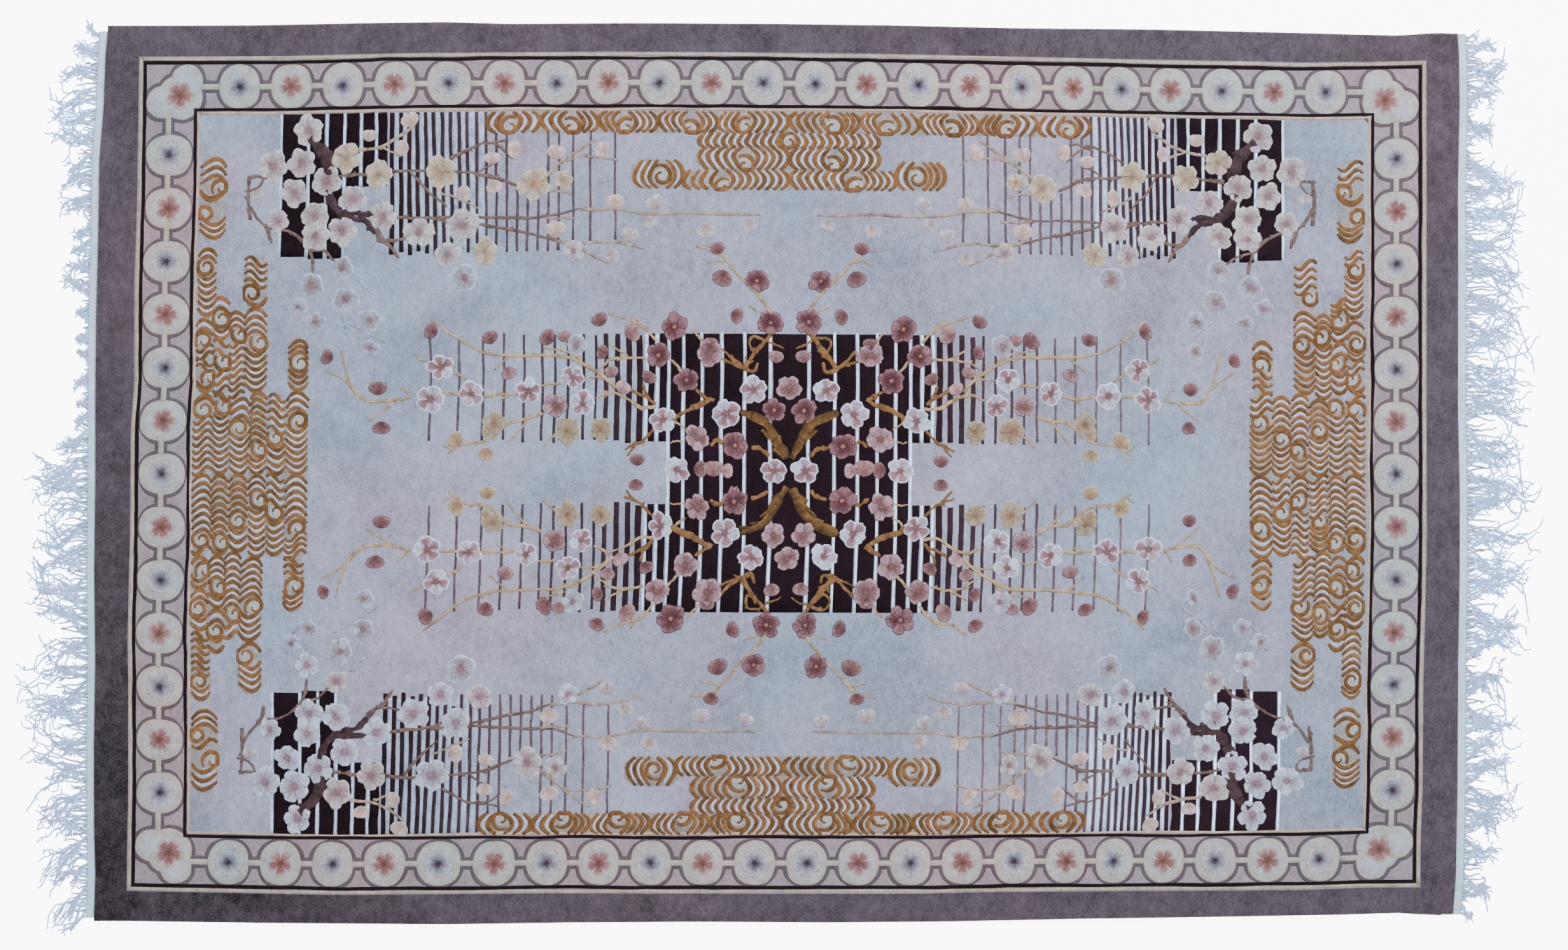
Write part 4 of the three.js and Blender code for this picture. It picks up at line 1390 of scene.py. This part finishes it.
def yarn_fringe(side, edge, table, outward, spacing):
    """The cords of one end, drawn together in locks, and short yarns of darker cotton between them:
    partly stray fluff and partly painted shadow in the gaps between the cords.
    """
    low, high = edge[-1][1] + 3, edge[0][1] - 3
    cords, fluff_and_painted_shade = [], []
    t = np.linspace(0, 1, POINTS)
    locks = []
    place = low - 5
    while place < high + spacing:
        sway = np.cumsum(np.sin(swerving(0.3)))
        locks.append((place, (sway - sway[0]) / POINTS, random.uniform(0.7, 1.3)))
        place += spacing * random.uniform(0.55, 1.45)
    centres = np.array([lock[0] for lock in locks])
    for root in np.arange(low, high, CORD_PITCH):
        root = root + random.uniform(-0.6, 0.6)
        full = float(read(table, root, 1))
        lean = float(read(table, root, 2))
        centre, sway, wide = locks[np.argmin(np.abs(centres - root))]
        off = root - centre
        fullness = 0.32 + 0.72 * math.exp(-(off / (wide * spacing * 0.42)) ** 2)
        reach = full * fullness * random.uniform(0.8, 1.08)
        gather = np.clip(t / 0.5, 0, 1) ** 1.4 * random.uniform(0.55, 0.95)
        lift = random.uniform(0.0, 2.2)
        base = read(edge, root, 0, 1) + outward * (WEB_WIDTH - 1.5)
        free = np.clip((t * reach - 5) / 14, 0, 1)
        for strand in range(YARNS):
            split = np.clip((t - random.uniform(0.35, 0.6)) / 0.3, 0, 1)
            heading = free * swerving(0.26)
            heading = heading + split * (swerving(0.4) + (strand - 1) * random.uniform(0.1, 0.8))
            heading = np.clip(heading, -1.45, 1.45)
            x, y = np.cumsum(np.cos(heading)), np.cumsum(np.sin(heading))
            scale = reach * random.uniform(0.86, 1.06) / x[-1]
            x, y = (x - x[0]) * scale, (y - y[0]) * scale
            y = y - off * gather + lean * t ** 1.5 + sway * reach * free
            past = np.maximum(low - root - y, 0)
            y = y + past - STRAY_BELOW * (1 - np.exp(-past / STRAY_BELOW))
            turn = strand * 2 * math.pi / YARNS + x / 4.0
            twist = 0.8 * (1 - 0.6 * split)
            thickness = 1.18 - 0.2 * t
            z = YARN_RADIUS * 1.2 + lift * np.sin(math.pi * t) ** 1.5 + twist * (1 + np.sin(turn)) * 0.6
            points = np.stack([base + outward * x, root + y + twist * np.cos(turn), z], axis=1)
            cords.append((points, thickness))
            for share in random.uniform(0.45, 0.97, 2):
                at = int(share * (POINTS - 1))
                turned = heading[at] + random.choice([-1, 1]) * random.uniform(0.6, 1.3)
                end = random.uniform(3.5, 8.0) * np.array([outward * math.cos(turned), math.sin(turned), 0.0])
                spur = points[at] + np.outer((0, 0.5, 1), end)
                spur[1, :2] += random.normal(0, 0.6, 2)
                cords.append((spur, np.array([0.95, 0.95, 0.8])))
        # A short yarn of darker cotton in the gap beside the cord: stray fluff, and painted shadow between
        # the cords.
        out = np.linspace(0, random.uniform(0.2, 0.5) * full, 7)
        y = root + random.uniform(1.5, 4.5) + np.cumsum(random.normal(0, 1.6, 7)) * np.clip(out / 12, 0, 1)
        thickness = np.linspace(1.4, 0.8, 7)
        points = np.stack([base + outward * out, y, YARN_RADIUS * 1.05 * thickness], axis=1)
        fluff_and_painted_shade.append((points, thickness))
    return (tube_piece(f"fringe_yarn_{side}", cords, YARN_RADIUS),
            tube_piece(f"fringe_shade_{side}", fluff_and_painted_shade, YARN_RADIUS))


left_yarn, left_fluff_and_painted_shade = yarn_fringe("left", LEFT_EDGE, LEFT_FRINGE, -1, 27)
right_yarn, right_fluff_and_painted_shade = yarn_fringe("right", RIGHT_EDGE, RIGHT_FRINGE, 1, 40)

# %% [markdown]
# ## Materials
# Cut wool looks like velvet: the ends of the tufts give a fine grain, a little longer across the rug,
# and where the nap has been brushed another way the same dye looks lighter or darker. Both are
# patterns that many materials need, so they are one shader node group. It takes a dye and gives back
# a varied dye and a height for the bump. The shader itself stays in each material.

# %% Cut pile as a node group
def feed(tree, socket, value):
    """Sets a number or a tuple on the socket, and links anything else to it."""
    if isinstance(value, (int, float, tuple)):
        socket.default_value = value
    else:
        tree.links.new(value, socket)


def calculate(tree, kind, a, b, clamp=False):
    node = tree.nodes.new("ShaderNodeMath")
    node.operation = kind
    node.use_clamp = clamp
    feed(tree, node.inputs[0], a)
    feed(tree, node.inputs[1], b)
    return node.outputs[0]


def cut_pile_group():
    group = bpy.data.node_groups.new("cut_pile", "ShaderNodeTree")
    face = group.interface
    face.new_socket("Dye", in_out="INPUT", socket_type="NodeSocketColor")
    for name, value in (("Tuft Size", 0.0015), ("Tuft Contrast", 0.36), ("Cloud Size", 0.11),
                        ("Clouds", 0.16), ("Mottle", 0.34), ("Cool", 0.3), ("Lint", 0.35), ("Shade", 0.0)):
        face.new_socket(name, in_out="INPUT", socket_type="NodeSocketFloat").default_value = value
    face.new_socket("Colour", in_out="OUTPUT", socket_type="NodeSocketColor")
    face.new_socket("Height", in_out="OUTPUT", socket_type="NodeSocketFloat")
    nodes, links = group.nodes, group.links
    given = nodes.new("NodeGroupInput")
    result = nodes.new("NodeGroupOutput")
    place = nodes.new("ShaderNodeTexCoord")
    long_tufts = nodes.new("ShaderNodeMapping")
    long_tufts.inputs["Scale"].default_value = (1.0, 0.55, 1.0)
    links.new(place.outputs["Object"], long_tufts.inputs["Vector"])

    def math_node(kind, a, b, clamp=False):
        return calculate(group, kind, a, b, clamp)

    def noise(scale, detail, rough, distortion=0.0, vector=place.outputs["Object"]):
        node = nodes.new("ShaderNodeTexNoise")
        node.inputs["Detail"].default_value = detail
        node.inputs["Roughness"].default_value = rough
        node.inputs["Distortion"].default_value = distortion
        feed(group, node.inputs["Scale"], scale)
        feed(group, node.inputs["Vector"], vector)
        return node.outputs["Fac"]

    def around_zero(value, gain):
        return math_node("MULTIPLY", math_node("SUBTRACT", value, 0.5), gain)

    def blend(kind, factor, a, b):
        node = nodes.new("ShaderNodeMix")
        node.data_type = "RGBA"
        node.blend_type = kind
        for socket, value in (("Factor", factor), ("A", a), ("B", b)):
            feed(group, node.inputs[socket], value)
        return node.outputs["Result"]

    tufts = noise(math_node("DIVIDE", 1.0, given.outputs["Tuft Size"]), 2.0, 0.65, 0.0,
                  long_tufts.outputs["Vector"])
    brushed = noise(160.0, 2.0, 0.6, 0.3, long_tufts.outputs["Vector"])
    clouds = noise(math_node("DIVIDE", 1.0, given.outputs["Cloud Size"]), 5.0, 0.55, 0.6)
    mottle = noise(70.0, 3.0, 0.6)
    tint = noise(3.2, 3.0, 0.5, 0.5)
    tuft = math_node("MULTIPLY", around_zero(tufts, 2.6), given.outputs["Tuft Contrast"])
    fine = math_node("MULTIPLY", around_zero(brushed, 1.3), given.outputs["Tuft Contrast"])
    cloud = math_node("MULTIPLY", around_zero(clouds, 5.0), given.outputs["Clouds"])
    uneven = math_node("MULTIPLY", around_zero(mottle, 1.0), given.outputs["Mottle"])
    total = math_node("ADD", math_node("ADD", tuft, fine), math_node("ADD", cloud, uneven))
    gain = math_node("MAXIMUM", math_node("ADD", math_node("ADD", total, 1.0), given.outputs["Shade"]), 0.18)
    scaled = nodes.new("ShaderNodeVectorMath")
    scaled.operation = "SCALE"
    links.new(given.outputs["Dye"], scaled.inputs[0])
    links.new(gain, scaled.inputs["Scale"])
    tints = blend("MIX", math_node("ADD", around_zero(tint, 2.6), 0.5, True), (1.15, 0.965, 0.98, 1),
                  (0.86, 1.01, 1.05, 1))
    tinted = blend("MULTIPLY", given.outputs["Cool"], scaled.outputs["Vector"], tints)
    specks = nodes.new("ShaderNodeTexVoronoi")
    specks.inputs["Scale"].default_value = 42.0
    links.new(long_tufts.outputs["Vector"], specks.inputs["Vector"])
    speck = math_node("LESS_THAN", specks.outputs["Distance"], 0.028)
    speck = math_node("MULTIPLY", speck, given.outputs["Lint"])
    speck = math_node("MULTIPLY", speck, math_node("GREATER_THAN", brushed, 0.5))
    fluffed = blend("MIX", speck, tinted, (0.62, 0.65, 0.7, 1))
    links.new(fluffed, result.inputs["Colour"])
    links.new(math_node("ADD", tufts, math_node("ADD", math_node("MULTIPLY", brushed, 0.8),
                                                math_node("MULTIPLY", mottle, 0.8))), result.inputs["Height"])
    return group


cut_pile = cut_pile_group()


# %% Wool materials
def wool(name, colour=None, bump=0.0010, sheen=0.08, shaded=None, **values):
    """Cut wool. Without a colour it reads each point's own dye, with the painted groove shade and
    highlights that the motifs carry, and streaks it along its nap.

    shaded is (x, y, radius, amount): a round patch of painted light on the nap where it lies another
    way; a positive amount paints a paler sheen there, and a negative one a darker shade."""
    material = bpy.data.materials.new(name)
    material.use_nodes = True
    tree = material.node_tree
    nodes, links = tree.nodes, tree.links
    shader = nodes["Principled BSDF"]
    pile = nodes.new("ShaderNodeGroup")
    pile.node_tree = cut_pile
    for key, value in values.items():
        pile.inputs[key.replace("_", " ").title()].default_value = value

    def attribute(key, output):
        node = nodes.new("ShaderNodeAttribute")
        node.attribute_name = key
        return node.outputs[output]

    if colour is None:
        links.new(attribute("dye", "Color"), pile.inputs["Dye"])
        rays = nodes.new("ShaderNodeTexNoise")
        rays.inputs["Scale"].default_value = 1.0
        rays.inputs["Detail"].default_value = 3.0
        rays.inputs["Roughness"].default_value = 0.7
        links.new(attribute("nap", "Vector"), rays.inputs["Vector"])
        centred = calculate(tree, "SUBTRACT", rays.outputs["Fac"], 0.5)
        links.new(calculate(tree, "MULTIPLY", centred, attribute("streak", "Fac")), pile.inputs["Shade"])
    else:
        pile.inputs["Dye"].default_value = (*colour, 1)
    # A round patch of painted sheen and shade on the nap, fed to the pile's Shade input.
    if shaded is not None:
        x, y, radius, amount = shaded
        where = nodes.new("ShaderNodeTexCoord")
        patch = nodes.new("ShaderNodeMapping")
        patch.inputs["Location"].default_value = (-x / radius, -y / radius, 0)
        patch.inputs["Scale"].default_value = (1 / radius, 1 / radius, 0)
        links.new(where.outputs["Object"], patch.inputs["Vector"])
        round_patch = nodes.new("ShaderNodeTexGradient")
        round_patch.gradient_type = "SPHERICAL"
        links.new(patch.outputs["Vector"], round_patch.inputs["Vector"])
        links.new(calculate(tree, "MULTIPLY", round_patch.outputs["Fac"], amount), pile.inputs["Shade"])
    height = nodes.new("ShaderNodeBump")
    height.inputs["Strength"].default_value = 0.6
    height.inputs["Distance"].default_value = bump
    links.new(pile.outputs["Height"], height.inputs["Height"])
    links.new(pile.outputs["Colour"], shader.inputs["Base Color"])
    links.new(height.outputs["Normal"], shader.inputs["Normal"])
    shader.inputs["Roughness"].default_value = 0.95
    shader.inputs["Specular IOR Level"].default_value = 0.1
    shader.inputs["Sheen Weight"].default_value = sheen
    shader.inputs["Sheen Roughness"].default_value = 0.5
    return material


# The band is painted darker towards its lower left, painted shade on the nap there.
band_wool = wool("band_wool", MAUVE, shaded=(-0.97, -0.5, 0.62, -0.6), clouds=0.2, cloud_size=0.07,
                 tuft_contrast=0.6, mottle=0.8, cool=0.35)
border_wool = wool("border_wool", GAP_LILAC, clouds=0.12, cool=0.5)
# The field is painted paler towards its lower left, a painted sheen on the nap there.
field_wool = wool("field_wool", SILVER, shaded=(-0.45, -0.3, 0.6, 0.1), clouds=0.2, cloud_size=0.17,
                  tuft_contrast=0.42, mottle=0.45, cool=1.0)
motif_wool = wool("motif_wool", clouds=0.06, tuft_contrast=0.5, mottle=0.5, cool=0.25, lint=0.12)
# The slabs are painted paler towards the lower right, a painted sheen on the nap there.
slab_wool = wool("slab_wool", sheen=0.02, shaded=(0.85, -0.5, 1.4, 1.1), clouds=0.12, tuft_contrast=0.8,
                 mottle=0.7, cool=0.2, lint=0.1)
disc_wool = wool("disc_wool", clouds=0.1, cloud_size=0.05, tuft_contrast=0.32, cool=0.9, lint=0.15)
back_cotton = wool("back_cotton", dye(190, 184, 174), bump=0.0008, sheen=0.0, tuft_size=0.0025, clouds=0.1)
cord_wool = wool("cord_wool", dye(58, 44, 52), tuft_contrast=0.3, clouds=0.1)
COTTON = {"bump": 0.0003, "sheen": 0.0, "cool": 0.1, "lint": 0.0}
fringe_cotton = wool("fringe_cotton", dye(211, 219, 225), tuft_contrast=0.3, clouds=0.1, **COTTON)
yarn_cotton = wool("yarn_cotton", dye(192, 203, 214), tuft_contrast=0.45, clouds=0.12, **COTTON)
# A darker cotton for the short yarns between the fringe cords, painted shadow between them.
shaded_cotton = wool("shaded_cotton", dye(172, 182, 192), tuft_contrast=0.3, clouds=0.15, **COTTON)
for material in (band_wool, border_wool, field_wool, back_cotton):
    pile_mesh.materials.append(material)
OWN_WOOL = {"bars": slab_wool, "border_roundels": disc_wool}
for name, piece in pieces.items():
    piece.data.materials.append(OWN_WOOL.get(name, motif_wool))
for piece in side_cords:
    piece.data.materials.append(cord_wool)
for piece in webs:
    piece.data.materials.append(fringe_cotton)
for piece in (left_yarn, right_yarn):
    piece.data.materials.append(yarn_cotton)
for piece in (left_fluff_and_painted_shade, right_fluff_and_painted_shade):
    piece.data.materials.append(shaded_cotton)

# %% [markdown]
# ## Floor and light
# A pale floor and plain soft light: an even sky, and one large soft lamp from the top that
# lets the carving show. The floor glows a little, like a lit white sweep in a studio, so that it
# stays pale beside the rug.

# %% Floor and lamps
FLOOR_GLOW = 8.0
SKY_STRENGTH = 0.8
KEY_POWER = 325
KEY_SIZE = 2.0
KEY_PLACE = (1.2, 2.6, 3.9)

bm = bmesh.new()
bmesh.ops.create_grid(bm, x_segments=1, y_segments=1, size=6.0)
floor_mesh = bpy.data.meshes.new("floor")
bm.to_mesh(floor_mesh)
bm.free()
floor = add_object("floor", floor_mesh)
floor_paint = bpy.data.materials.new("floor_paint")
floor_paint.use_nodes = True
floor_shader = floor_paint.node_tree.nodes["Principled BSDF"]
floor_shader.inputs["Base Color"].default_value = (0.9, 0.9, 0.9, 1)
floor_shader.inputs["Roughness"].default_value = 0.9
floor_shader.inputs["Emission Color"].default_value = (1, 1, 1, 1)
floor_shader.inputs["Emission Strength"].default_value = FLOOR_GLOW
floor_mesh.materials.append(floor_paint)

world = bpy.data.worlds.new("sky")
world.use_nodes = True
sky = world.node_tree.nodes["Background"]
sky.inputs["Color"].default_value = (1, 1, 1, 1)
sky.inputs["Strength"].default_value = SKY_STRENGTH
bpy.context.scene.world = world

key = bpy.data.lights.new("key", "AREA")
key.shape = "DISK"
key.size = KEY_SIZE
key.energy = KEY_POWER
key_lamp = add_object("key", key)
key_lamp.location = KEY_PLACE
key_lamp.rotation_euler = (-key_lamp.location).to_track_quat("-Z", "Y").to_euler()
print("sky", SKY_STRENGTH, "key", KEY_POWER, "W")

# %% [markdown]
# ## Hand the pieces over
# Every piece rides on the one body, and the solid that it stands for is hidden.

# %% Ride and replace
wool_pieces = [pile_sheet] + list(pieces.values())
end_pieces = webs + [left_yarn, right_yarn, left_fluff_and_painted_shade, right_fluff_and_painted_shade]
for piece in wool_pieces:
    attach(piece, "root")
    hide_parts("pile")
for piece, node in zip(side_cords, ("selvedge_top", "selvedge_bottom")):
    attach(piece, "root")
    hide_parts(node)
for piece, node in zip(end_pieces, ("fringe_left", "fringe_right") * 3):
    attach(piece, "root")
    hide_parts(node)
